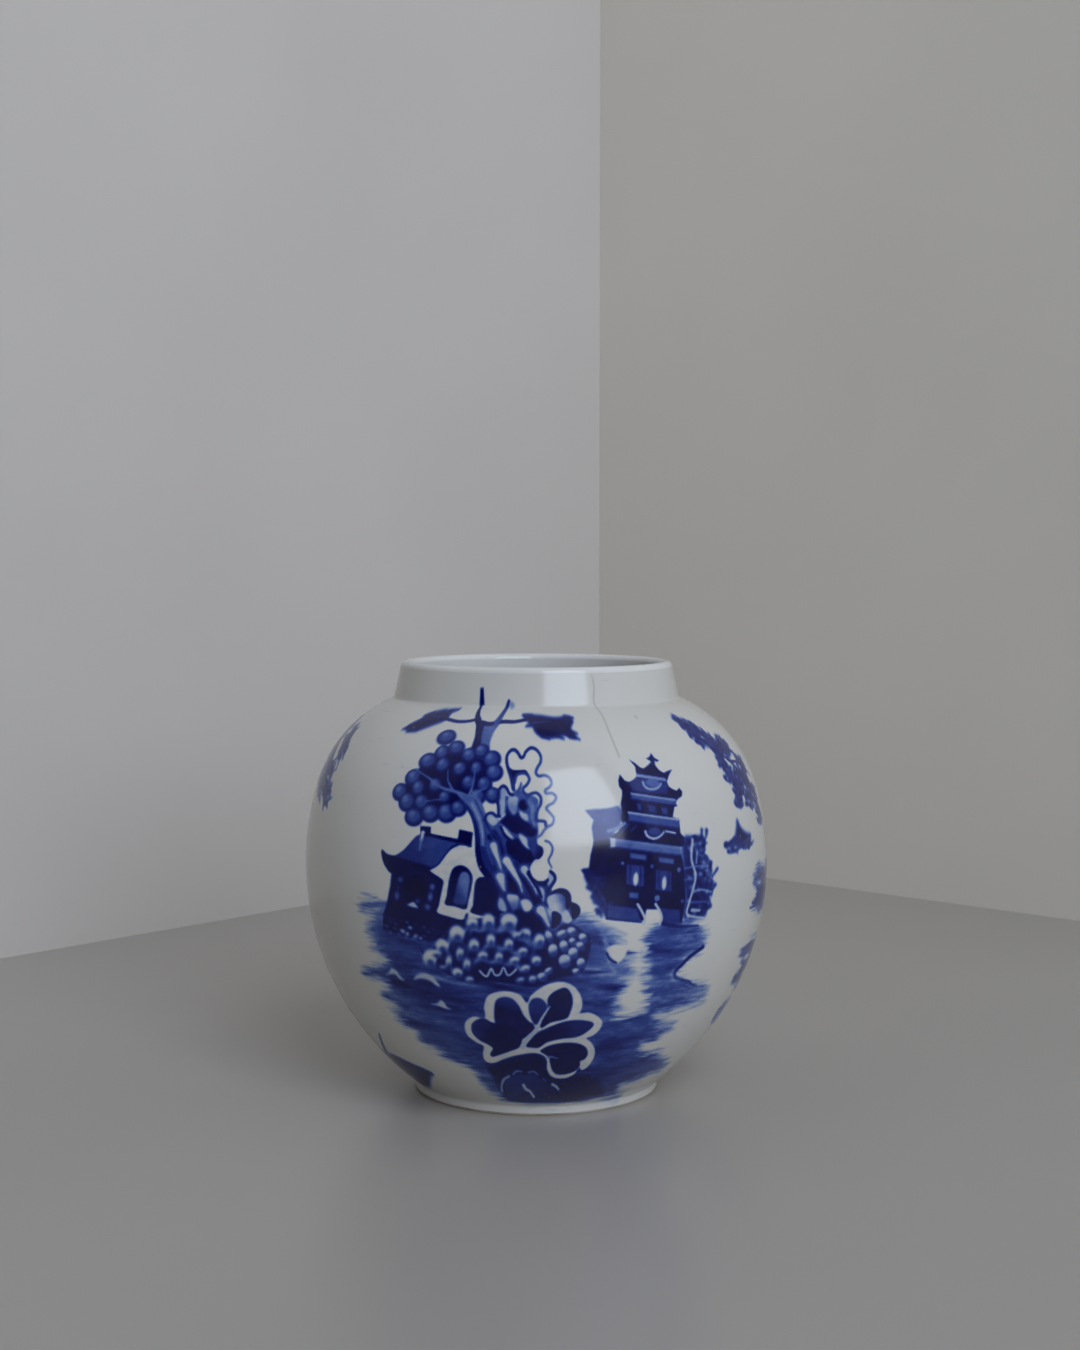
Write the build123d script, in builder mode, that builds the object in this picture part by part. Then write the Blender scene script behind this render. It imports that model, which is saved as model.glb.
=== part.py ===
from build123d import *
from math import acos, asin, degrees
import os

# A ginger jar of blue and white earthenware, open at the mouth, without its lid.
#
# It is a slip-cast jar turned about Z: a round belly, a high shoulder, a short collar that
# narrows towards the rim, and a low foot ring under a flat base. Three solids make it up:
#   jar_body     the fired biscuit clay, in one piece, bare where it stands on the foot ring
#   glaze_coat   the glass skin over the outside, the rim, the inside and the floor
#   base_glaze   the patch of glaze inside the foot ring, under the base
# The foot ring is wiped clean before firing, so the two glazes never meet.
#
# +Z is up and the origin is the centre of the foot ring's standing face. All in millimetres.
# Outside sizes are those of the biscuit; the glaze adds its own thickness to them.

# Belly and shoulder
jar_height = 138.75  # standing face to the crest of the rim
belly_radius = 74.55  # widest circle
belly_height = 74.0  # height of the widest circle
shoulder_angle = 17.0  # degrees above the widest circle where the belly's arc gives way to the shoulder's

# Collar and rim
collar_height = 11.8  # from the shoulder to the crest
collar_radius = 45.9  # outside, where it leaves the shoulder
collar_taper = 2.55  # how much less its radius is at the crest
collar_root = 2.4  # fillet between shoulder and collar, outside
throat_root = 3.0  # the same, inside
rim_flat = 0.3  # flat left on the crest between its two rounded edges

# Foot and base
foot_radius = 39.4  # outside of the foot ring
foot_height = 3.1  # where the belly leaves the foot ring
foot_width = 4.2  # breadth of the ring
recess_depth = 2.4  # how far the base is set up inside the ring
foot_edge = 0.6  # rounding of the standing face's two edges
foot_root = 1.0  # fillets where the ring meets the belly and the base

# Walls
wall = 3.6  # belly and shoulder
collar_wall = 3.2
base_thickness = 4.2
floor_root = 9.0  # fillet between the floor and the wall, inside

# Glaze
glaze = 0.25  # thickness of both glazes
bare_height = 0.8  # height of the foot ring that is left without glaze

margin = 5.0  # how far a cutting shape runs past what it cuts

# The belly's arc leaves the foot ring, stands upright at the widest circle and runs on past it.
# The shoulder's arc carries on from its end, with a common tangent, to the foot of the collar.
foot_to_belly = belly_radius - foot_radius
belly_curve = (foot_to_belly**2 + (belly_height - foot_height) ** 2) / (2 * foot_to_belly)
belly_centre = Vector(belly_radius - belly_curve, belly_height)
outward = Vector(1, 0).rotate(Axis.Z, shoulder_angle)
shoulder_start = belly_centre + outward * belly_curve
collar_foot = Vector(collar_radius, jar_height - collar_height)
across = shoulder_start - collar_foot
shoulder_curve = across.dot(across) / (2 * across.dot(outward))
shoulder_centre = shoulder_start - outward * shoulder_curve
floor_height = recess_depth + base_thickness


def belly(inset, low):
    """The filled half-section of the belly and shoulder, set in from the outside, above a height.

    The shoulder's arc runs on under the collar, at most to its own top.
    """
    belly_arc = belly_curve - inset
    shoulder_arc = shoulder_curve - inset
    reach = max(collar_radius - collar_wall - collar_root - shoulder_centre.X, 0)
    low_angle = degrees(asin((low - belly_height) / belly_arc))
    top_angle = degrees(acos(reach / shoulder_arc))
    with BuildSketch(mode=Mode.PRIVATE) as section:
        with BuildLine():
            side = CenterArc(belly_centre, belly_arc, low_angle, shoulder_angle - low_angle)
            top = CenterArc(shoulder_centre, shoulder_arc, shoulder_angle, top_angle - shoulder_angle)
            Line(top @ 1, (0, (top @ 1).Y))
            Line((0, (top @ 1).Y), (0, low))
            Line((0, low), side @ 0)
        make_face()
    return section.sketch_local


def collar(inset, crest):
    """The filled half-section of the collar, set in from the outside, up to a height.

    Under the shoulder it goes straight down, to meet the belly's section.
    """
    lean = -collar_taper / collar_height
    foot = collar_radius - inset
    low = collar_foot.Y - 2 * wall
    with BuildSketch(mode=Mode.PRIVATE) as section:
        with BuildLine():
            Polyline(
                (0, low),
                (foot, low),
                (foot, collar_foot.Y),
                (foot + lean * (crest - collar_foot.Y), crest),
                (0, crest),
                close=True,
            )
        make_face()
    return section.sketch_local


def block(inner, outer, low, high):
    """A rectangle of the half-section between two radii and two heights."""
    with BuildSketch(mode=Mode.PRIVATE) as section:
        with Locations((inner, low)):
            Rectangle(outer - inner, high - low, align=(Align.MIN, Align.MIN))
    return section.sketch_local


# The space inside the jar, as a filled half-section
with BuildSketch(Plane.XZ) as hollow:
    add(belly(wall, floor_height))
    add(collar(collar_wall, jar_height + margin))
    throat = hollow.vertices().sort_by_distance(collar_foot - Vector(collar_wall, wall))[0]
    fillet(throat, throat_root)
    floor_corner = hollow.vertices().group_by(Axis.Y)[0].sort_by(Axis.X)[-1]
    fillet(floor_corner, floor_root)

# The clay: the jar's outside, with its foot ring, less that space
with BuildSketch(Plane.XZ) as clay:
    add(belly(0, foot_height))
    add(collar(0, jar_height))
    add(block(0, foot_radius, 0, foot_height))
    fillet(clay.vertices().sort_by_distance(collar_foot)[0], collar_root)
    fillet(clay.vertices().sort_by_distance((foot_radius, foot_height))[0], foot_root)
    add(block(0, foot_radius - foot_width, 0, recess_depth), mode=Mode.SUBTRACT)
    fillet(clay.vertices().sort_by_distance((foot_radius - foot_width, recess_depth))[0], foot_root)
    fillet(clay.vertices().group_by(Axis.Y)[0], foot_edge)
    add(hollow.sketch_local, mode=Mode.SUBTRACT)
    fillet(clay.vertices().group_by(Axis.Y)[-1], (collar_wall - rim_flat) / 2)

# Both glazes: a skin of even thickness round the clay, wiped off the standing face
with BuildSketch(Plane.XZ) as skin:
    add(clay.sketch_local)
    offset(amount=glaze, kind=Kind.ARC, mode=Mode.REPLACE)
    add(clay.sketch_local, mode=Mode.SUBTRACT)
    add(block(-margin, 0, -margin, jar_height + margin), mode=Mode.SUBTRACT)
    add(block(0, foot_radius + margin, -margin, bare_height), mode=Mode.SUBTRACT)
base_skin, coat_skin = skin.sketch.faces().sort_by(Axis.Z)

with BuildPart() as jar_body:
    add(clay.sketch)
    revolve(axis=Axis.Z)
jar_body.part.label = "jar_body"

with BuildPart() as glaze_coat:
    add(coat_skin)
    revolve(axis=Axis.Z)
glaze_coat.part.label = "glaze_coat"

with BuildPart() as base_glaze:
    add(base_skin)
    revolve(axis=Axis.Z)
base_glaze.part.label = "base_glaze"

os.makedirs("parts", exist_ok=True)
export_step(jar_body.part, "parts/jar_body.step")
export_step(glaze_coat.part, "parts/glaze_coat.step")
export_step(base_glaze.part, "parts/base_glaze.step")
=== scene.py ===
import math

import bpy
import numpy as np
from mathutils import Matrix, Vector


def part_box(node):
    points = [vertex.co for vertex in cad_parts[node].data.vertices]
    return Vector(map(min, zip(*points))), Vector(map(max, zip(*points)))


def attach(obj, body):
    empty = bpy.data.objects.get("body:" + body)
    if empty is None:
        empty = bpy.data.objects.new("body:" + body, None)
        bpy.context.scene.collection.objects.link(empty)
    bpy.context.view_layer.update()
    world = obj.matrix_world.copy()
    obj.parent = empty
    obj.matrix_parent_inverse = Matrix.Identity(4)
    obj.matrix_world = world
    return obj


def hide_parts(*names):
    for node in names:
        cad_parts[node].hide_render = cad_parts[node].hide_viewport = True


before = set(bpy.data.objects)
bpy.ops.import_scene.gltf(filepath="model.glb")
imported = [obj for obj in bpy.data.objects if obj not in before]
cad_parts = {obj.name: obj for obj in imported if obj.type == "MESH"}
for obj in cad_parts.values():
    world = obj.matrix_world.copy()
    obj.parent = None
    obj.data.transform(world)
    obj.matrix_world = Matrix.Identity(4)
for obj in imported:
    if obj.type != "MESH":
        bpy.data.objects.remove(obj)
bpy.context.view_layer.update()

mm = 0.001
rootBody = "root"

# The jar's own sizes, in millimetres. Height and width come from the frame's glaze.
glazeLow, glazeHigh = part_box("glaze_coat")
jar = {
    "widest": max(glazeHigh.x, glazeHigh.y) / mm,
    "widestHeight": 74.0,
    "footRadius": 39.65,
    "footHeight": 3.1,
    "bareHeight": glazeLow.z / mm,
    "turnAngle": 17.0,      # degrees above the widest circle where the shoulder's curve starts
    "collarRadius": 46.15,
    "collarHeight": 11.8,
    "collarTaper": 2.55,
    "top": glazeHigh.z / mm,
    "wall": 4.1,            # clay with the glaze on both sides
    "lipRound": 1.78,       # half the rim's thickness
    "lipInward": 0.17,      # how much wider its inner half is
    "throatRound": 3.25,    # the turn from the collar into the shoulder, inside
    "floorHeight": 6.85,
    "floorRound": 9.0,
    "glaze": 0.24,
    "ease": 1.2,            # how softly the corners at foot and collar are rounded
    "segments": 264,        # round the jar, on the plain turned surfaces
}
girth = 75.0                # the print is laid out in mm round a circle of this radius
lineStep = 0.1              # between the points of a section, in mm


# the shape of the turned surfaces
def arcPoints(centre, radius, start, end, step=lineStep):
    count = max(2, int(abs(end - start) * radius / step))
    angles = np.linspace(start, end, count)
    return np.stack([centre[0] + radius * np.cos(angles), centre[1] + radius * np.sin(angles)], 1)


def linePoints(a, b):
    a, b = np.array(a, float), np.array(b, float)
    count = max(2, int(np.linalg.norm(b - a) / lineStep))
    return a + (b - a) * np.linspace(0, 1, count)[:, None]


def evenly(points):
    gaps = np.linalg.norm(np.diff(points, axis=0), axis=1)
    keep = np.concatenate([[True], gaps > 1e-6])
    points = points[keep]
    along = np.concatenate([[0], np.cumsum(np.linalg.norm(np.diff(points, axis=0), axis=1))])
    wanted = np.linspace(0, along[-1], max(2, int(along[-1] / lineStep)) + 1)
    return np.stack([np.interp(wanted, along, points[:, k]) for k in (0, 1)], 1)


def eased(points, reach):
    # rounds the corners by averaging along the line, with its two ends held
    half = int(reach / lineStep)
    padded = np.concatenate([2 * points[0] - points[half:0:-1], points,
                             2 * points[-1] - points[-2:-half - 2:-1]])
    kernel = np.hanning(2 * half + 3)[1:-1]
    kernel /= kernel.sum()
    return np.stack([np.convolve(padded[:, k], kernel, "valid") for k in (0, 1)], 1)


def wallArcs(inset):
    rise = jar["widestHeight"] - jar["footHeight"]
    run = jar["widest"] - jar["footRadius"]
    belly = (run * run + rise * rise) / (2 * run)
    bellyCentre = np.array([jar["widest"] - belly, jar["widestHeight"]])
    turn = math.radians(jar["turnAngle"])
    outward = np.array([math.cos(turn), math.sin(turn)])
    start = bellyCentre + outward * belly
    collarFoot = np.array([jar["collarRadius"], jar["top"] - jar["collarHeight"]])
    across = start - collarFoot
    shoulder = across @ across / (2 * across @ outward)
    shoulderCentre = start - outward * shoulder
    return bellyCentre, belly - inset, shoulderCentre, shoulder - inset, turn, collarFoot


def outsideLine():
    bellyCentre, belly, shoulderCentre, shoulder, turn, collarFoot = wallArcs(0)
    low = math.asin((jar["footHeight"] - bellyCentre[1]) / belly)
    high = math.acos((jar["collarRadius"] - shoulderCentre[0]) / shoulder)
    lipHeight = jar["top"] - jar["lipRound"]
    lean = jar["collarTaper"] / jar["collarHeight"]
    lip = (jar["collarRadius"] - lean * (lipHeight - collarFoot[1]), lipHeight)
    line = np.concatenate([
        linePoints((jar["footRadius"], jar["bareHeight"]), (jar["footRadius"], jar["footHeight"])),
        arcPoints(bellyCentre, belly, low, turn),
        arcPoints(shoulderCentre, shoulder, turn, high),
        linePoints(collarFoot, lip),
    ])
    return eased(evenly(line), jar["ease"])


def insideLine():
    # from the outside of the rim, over it, and down the inside to the middle of the floor
    lip = outsideLine()[-1]
    bellyCentre, belly, shoulderCentre, shoulder, turn, collarFoot = wallArcs(jar["wall"])
    lipCentre = (lip[0] - jar["lipRound"], lip[1])
    lean = jar["collarTaper"] / jar["collarHeight"]
    innerLip = lipCentre[0] - jar["lipRound"] - jar["lipInward"]
    throatTop = collarFoot[1] - jar["glaze"]
    throat = innerLip + lean * (lip[1] - throatTop)
    rounding = jar["throatRound"]
    reach = throat + rounding - shoulderCentre[0]
    roundCentre = (throat + rounding, shoulderCentre[1] + math.sqrt((shoulder + rounding) ** 2 - reach ** 2))
    high = math.atan2(roundCentre[1] - shoulderCentre[1], reach)
    floorRound = jar["floorRound"]
    floorCentreHeight = jar["floorHeight"] + floorRound
    rise = bellyCentre[1] - floorCentreHeight
    floorCentre = (bellyCentre[0] + math.sqrt((belly - floorRound) ** 2 - rise ** 2), floorCentreHeight)
    low = math.atan2(floorCentreHeight - bellyCentre[1], floorCentre[0] - bellyCentre[0])
    wall = np.concatenate([
        linePoints((innerLip, lip[1]), (throat, throatTop)),
        linePoints((throat, throatTop), (throat, roundCentre[1])),
        arcPoints(roundCentre, rounding, math.pi, math.pi + high),
        arcPoints(shoulderCentre, shoulder, high, turn),
        arcPoints(bellyCentre, belly, turn, low),
        arcPoints(floorCentre, floorRound, low, -math.pi / 2),
        linePoints((floorCentre[0], jar["floorHeight"]), (0, jar["floorHeight"])),
    ])
    wall = eased(evenly(wall), jar["ease"])
    over = arcPoints(lipCentre, jar["lipRound"], 0, math.pi, 3 * lineStep)
    inward = over[:, 0] < lipCentre[0]
    widened = 1 + jar["lipInward"] / jar["lipRound"]
    over[inward, 0] = lipCentre[0] + (over[inward, 0] - lipCentre[0]) * widened
    return np.concatenate([over, wall[1:]])


# laying out the print: an unrolled plan of half the outside, in mm round and mm up
# The same transfer goes on the front and on the back, so the plan's two sides join.
cell = {"across": 528, "up": 360, "largest": 8}
profile = outsideLine()
profileLength = np.concatenate([[0], np.cumsum(np.linalg.norm(np.diff(profile, axis=0), axis=1))])
upSteps = np.linspace(0, profileLength[-1], cell["up"] + 1)
rowRadius = np.interp(upSteps, profileLength, profile[:, 0])
rowHeight = np.interp(upSteps, profileLength, profile[:, 1])
printWidth = math.pi * girth

masks = ("ink", "cover", "wash", "depth")
sheet = {name: np.zeros((cell["up"] + 1, cell["across"]), np.float32) for name in masks + ("craze",)}


def window(low, high):
    # the rows and columns of the layout that a shape may touch; columns run on into the next print
    first = math.floor((low[0] / printWidth + 0.5) * cell["across"])
    last = math.ceil((high[0] / printWidth + 0.5) * cell["across"])
    columns = np.arange(first, last + 1)
    rows = np.nonzero((rowHeight >= low[1]) & (rowHeight <= high[1]))[0]
    across = (columns / cell["across"] - 0.5) * printWidth
    place = np.stack(np.meshgrid(across, rowHeight[rows]), -1).astype(np.float32)
    return np.ix_(rows, columns % cell["across"]), place


def curve(points, closed=True, steps=6):
    # a smooth line through the points
    p = np.array(points, float)
    if closed:
        p = np.concatenate([p[-1:], p, p[:2]])
    else:
        p = np.concatenate([2 * p[:1] - p[1:2], p, 2 * p[-1:] - p[-2:-1]])
    t = (np.arange(steps) / steps)[:, None]
    made = []
    for a, b, c, d in zip(p[:-3], p[1:-2], p[2:-1], p[3:]):
        turning, bending = 2 * a - 5 * b + 4 * c - d, 3 * b - a - 3 * c + d
        made.append(0.5 * (2 * b + (c - a) * t + turning * t ** 2 + bending * t ** 3))
    if not closed:
        made.append(p[-2:-1])
    return np.concatenate(made)


def toSegment(place, a, b):
    along = b - a
    size = float(along @ along) or 1e-9
    t = np.clip(((place - a) @ along) / size, 0, 1)
    gap = place - a - t[..., None] * along
    return np.sqrt((gap ** 2).sum(-1)), t


def insideDistance(place, outline):
    # distance to a closed outline, negative inside it
    near = np.full(place.shape[:2], 1e9, np.float32)
    crossed = np.zeros(place.shape[:2], bool)
    x, y = place[..., 0], place[..., 1]
    for a, b in zip(outline, np.roll(outline, -1, 0)):
        near = np.minimum(near, toSegment(place, a, b)[0])
        if a[1] != b[1]:
            level = (b[0] - a[0]) * (y - a[1]) / (b[1] - a[1]) + a[0]
            crossed ^= ((a[1] > y) != (b[1] > y)) & (x < level)
    return np.where(crossed, -near, near)


def smoothStep(x):
    x = np.clip(x, 0, 1)
    return x * x * (3 - 2 * x)


def shade(tone, place):
    # a tone is one number, or two with the points that they belong to
    if isinstance(tone, (int, float)):
        return np.full(place.shape[:2], tone, np.float32)
    first, second, start, end = tone
    start, end = np.array(start, float), np.array(end, float)
    along = end - start
    t = smoothStep(((place - start) @ along) / float(along @ along))
    return first + (second - first) * t


def lay(where, strength, tone):
    ink, cover = sheet["ink"][where], sheet["cover"][where]
    total = strength + cover * (1 - strength)
    mixed = (tone * strength + ink * cover * (1 - strength)) / np.maximum(total, 1e-4)
    sheet["ink"][where] = np.where(total > 1e-4, mixed, 0)
    sheet["cover"][where] = total


def fill(tone, points, soft=0.35, straight=False):
    outline = np.array(points, float) if straight else curve(points)
    where, place = window(outline.min(0) - soft - 0.1, outline.max(0) + soft + 0.1)
    gap = insideDistance(place, outline)
    lay(where, smoothStep(0.5 - gap / (2 * soft)), shade(tone, place))


def stroke(tone, points, width, endWidth=None, soft=0.3):
    line = np.array(points, float) if len(points) < 3 else curve(points, closed=False)
    wide = np.linspace(width, width if endWidth is None else endWidth, len(line)) / 2
    reach = wide.max() + soft + 0.1
    where, place = window(line.min(0) - reach, line.max(0) + reach)
    gap = np.full(place.shape[:2], 1e9, np.float32)
    for a, b, wa, wb in zip(line[:-1], line[1:], wide[:-1], wide[1:]):
        far, t = toSegment(place, a, b)
        gap = np.minimum(gap, far - (wa + (wb - wa) * t))
    lay(where, smoothStep(0.5 - gap / (2 * soft)), shade(tone, place))


def dot(tone, x, y, rx, ry=None, turn=0, soft=0.3, edge=None, light=None):
    # a round or oval touch; edge is the tone at its rim and light the tone of a highlight up and left
    ry = rx if ry is None else ry
    reach = max(rx, ry) + soft + 0.1
    where, place = window((x - reach, y - reach), (x + reach, y + reach))
    c, s = math.cos(math.radians(turn)), math.sin(math.radians(turn))
    dx, dy = place[..., 0] - x, place[..., 1] - y
    a, b = (dx * c + dy * s) / rx, (dy * c - dx * s) / ry
    far = np.sqrt(a * a + b * b)
    made = shade(tone, place)
    if edge is not None:
        made = made + (edge - made) * smoothStep((far - 0.55) / 0.45)
    if light is not None:
        spot = np.sqrt((a + 0.25) ** 2 + (b - 0.3) ** 2)
        made = light + (made - light) * smoothStep(spot / 0.75)
    lay(where, smoothStep(0.5 - (far - 1) * min(rx, ry) / (2 * soft)), made)


def feathered(points, feather):
    outline = curve(points)
    where, place = window(outline.min(0) - feather, outline.max(0) + feather)
    return where, np.clip(0.5 - insideDistance(place, outline) / (2 * feather), 0, 1)


def pour(points, feather=3.0):
    # a wash with a feathered edge: its soft mask is broken up later, in the material
    where, mask = feathered(points, feather)
    sheet["wash"][where] = np.maximum(sheet["wash"][where], mask)


def lift(points, feather=3.0):
    # takes a pale patch out of a wash
    where, mask = feathered(points, feather)
    sheet["wash"][where] = np.minimum(sheet["wash"][where], 1 - mask)


def deepen(tone, x, y, rx, ry, turn=0):
    # leads the wash towards a tone round a point
    reach = 2.2 * max(rx, ry)
    where, place = window((x - reach, y - reach), (x + reach, y + reach))
    c, s = math.cos(math.radians(turn)), math.sin(math.radians(turn))
    dx, dy = place[..., 0] - x, place[..., 1] - y
    a, b = (dx * c + dy * s) / rx, (dy * c - dx * s) / ry
    t = np.exp(-(a * a + b * b))
    sheet["depth"][where] += (tone - sheet["depth"][where]) * t


def spray(tone, start, end, leaves, length, spread, seed, width=1.1, soft=0.5, fan=0.25):
    # short tapering touches along a line, as a brush leaves them
    draw = np.random.default_rng(seed)
    start, end = np.array(start, float), np.array(end, float)
    along = (end - start) / np.linalg.norm(end - start)
    side = np.array([-along[1], along[0]])
    for k in range(leaves):
        at = start + (end - start) * (k + draw.random()) / leaves + side * draw.normal() * spread
        way = along + side * draw.normal() * fan
        size = length * draw.uniform(0.6, 1.2)
        bend = side * draw.normal() * 0.1 * size
        stroke(tone + draw.uniform(-0.12, 0.08), [at - way * size / 2, at + bend, at + way * size / 2],
               width * draw.uniform(0.7, 1.3), 0.2, soft=soft)


# the front scene
def paintGround():
    sheet["depth"][:] = 0.6
    pour([(-57, 69.4), (-48, 69.8), (-38, 66), (0, 66), (12, 67.6), (17, 67), (20, 64.6), (24, 61.6),
          (24, 59), (29, 56), (30.4, 52), (28.6, 48), (27.6, 45), (26, 41), (28, 38), (32, 36.6),
          (36, 37.4), (37, 41), (36, 46), (35, 51), (34.4, 56), (34, 60.4), (36.2, 63), (40, 64.6),
          (47, 63.6), (53.6, 62.6), (56.6, 60.4), (57.4, 57.6), (55, 55.2), (51, 53), (48, 50.4),
          (46.4, 48.6), (48, 46.4), (53, 45), (59, 43.4), (63.5, 41.4), (66, 38), (60, 36.4), (50, 35.6),
          (42.6, 34.6), (46, 32), (53, 30.6), (53, 29), (45, 27), (41, 25.4), (46, 21.8), (54, 19.8),
          (64, 16), (70, 12.6), (60, 12), (50, 11.2), (43, 9.8), (46, 6.4), (52, 4), (30, 4.8), (10, 5.4),
          (-14, 5.8), (-21, 8), (-25, 12), (-26, 17), (-33, 20.6), (-40, 23.6), (-45, 26), (-47, 30),
          (-54, 33.6), (-50, 37), (-56, 40.6), (-52, 44), (-62, 46.4), (-53, 49.6), (-50, 52), (-56, 55),
          (-54, 58), (-57, 61.6), (-54, 64.6), (-58, 67)], feather=4.4)
    for touch in ((0.4, -55, 56, 6, 16), (0.36, -50, 36, 8, 9), (0.62, -44, 56, 8, 5),
                  (0.8, -40, 46, 14, 2.6), (0.75, -46, 44.6, 8, 1.6), (0.78, -30, 38.4, 9, 1.8),
                  (0.6, -34, 30, 12, 8), (0.5, -44, 27, 7, 4), (0.32, 26, 50, 7, 9),
                  (0.3, 38, 47, 3.5, 12), (0.4, 20, 57, 5, 4), (0.5, 18, 45, 5, 5), (0.46, 26, 42, 5, 4),
                  (0.48, 46, 56, 9, 6), (0.6, 40, 50, 4, 2.5), (0.5, 44, 42, 10, 4), (0.36, 60, 41, 6, 4),
                  (0.55, 34, 33, 10, 4), (0.55, 34, 24, 12, 5), (0.62, 44, 18, 16, 3.5),
                  (0.5, 60, 15, 9, 3), (0.95, 8, 10, 26, 6), (0.9, 2, 21, 16, 4), (0.86, 24, 13, 10, 5),
                  (0.5, -23, 13, 5, 5), (0.4, 50, 33, 7, 4)):
        deepen(*touch)
    draw = np.random.default_rng(31)
    for k in range(60):                      # long drags of the brush, darker and lighter
        x, y = draw.uniform(-54, 62), draw.uniform(8, 63)
        deepen(draw.choice([0.34, 0.42, 0.74, 0.84]), x, y, draw.uniform(5, 12), draw.uniform(0.5, 1.3),
               turn=-5 - 0.1 * (63 - y) + 4 * draw.normal())
    fill(0.9, [(-20, 19), (-16, 20.5), (-8, 23.4), (-2, 24.6), (3, 24), (4.6, 19.5), (7, 15.5),
               (14, 14.8), (20, 15.6), (27, 13), (33, 9.5), (37, 6.4), (20, 5.4), (0, 5.2), (-14, 5.8),
               (-17, 9), (-18, 14)], soft=1.6)
    for k in range(30):                      # soft, uneven edges of the pale path
        y = 59 - 0.8 * k
        half = 2.2 + 0.21 * max(0.0, 54 - y)
        x = 32.6 - 0.06 * (54 - y) + draw.normal() * 0.5
        start, stop = x - half * draw.uniform(0.6, 1.5), x + half * draw.uniform(0.6, 1.45)
        lift([(start, y - 0.5), (x, y + 0.7), (stop, y + 0.5), (x, y - 0.7)], feather=1.5)
    stroke((0.9, 0.6, (50, 52), (50, 46)),
           [(57, 55.4), (52, 53.2), (48.8, 50.8), (46.6, 48.9), (47.5, 47), (50.5, 45.8)], 1.2, 1.0,
           soft=0.6)
    stroke(0.72, [(50.5, 45.8), (53.5, 45), (56, 43.6), (58.5, 42.9)], 0.9, 0.3, soft=0.5)
    pale = 0.12
    fill(pale, [(-52, 47.2), (-50, 48.6), (-48.6, 50), (-46.8, 49.4), (-45.6, 47.8), (-44, 46.5), (-46, 46.6),
                (-47.8, 48), (-49.8, 47.7)], soft=0.7)
    fill(pale, [(-40.4, 47.2), (-39, 48.8), (-36, 49.7), (-33.6, 49), (-32, 47.6), (-31, 46), (-32.4, 46.1),
                (-34.4, 47.4), (-37.4, 47.9)], soft=0.6)
    fill(pale, [(-35.8, 39.8), (-33.4, 40.4), (-31.8, 41.5), (-30.6, 40.8), (-29.9, 39.6), (-28.4, 38.6),
                (-31, 38.8), (-33, 39.4)], soft=0.6)
    for k in range(7):
        stroke(0.26 + 0.05 * (k % 3),
               [(19 + k * 0.5, 65.4 - 1.5 * k), (23, 64.2 - 1.9 * k), (27.5, 62.4 - 2.2 * k)], 1.0, 0.3,
               soft=0.9)
    fill(0.0,
         [(21.6, 57.6), (22.6, 59.2), (25, 59.6), (27.8, 58.8), (27.8, 56.6), (26.4, 54.6), (24.8, 54)],
         soft=0.6)
    stroke(0.8, [(21.5, 57), (22.6, 55.2), (24.8, 53.9)], 0.7, 0.5)


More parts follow.
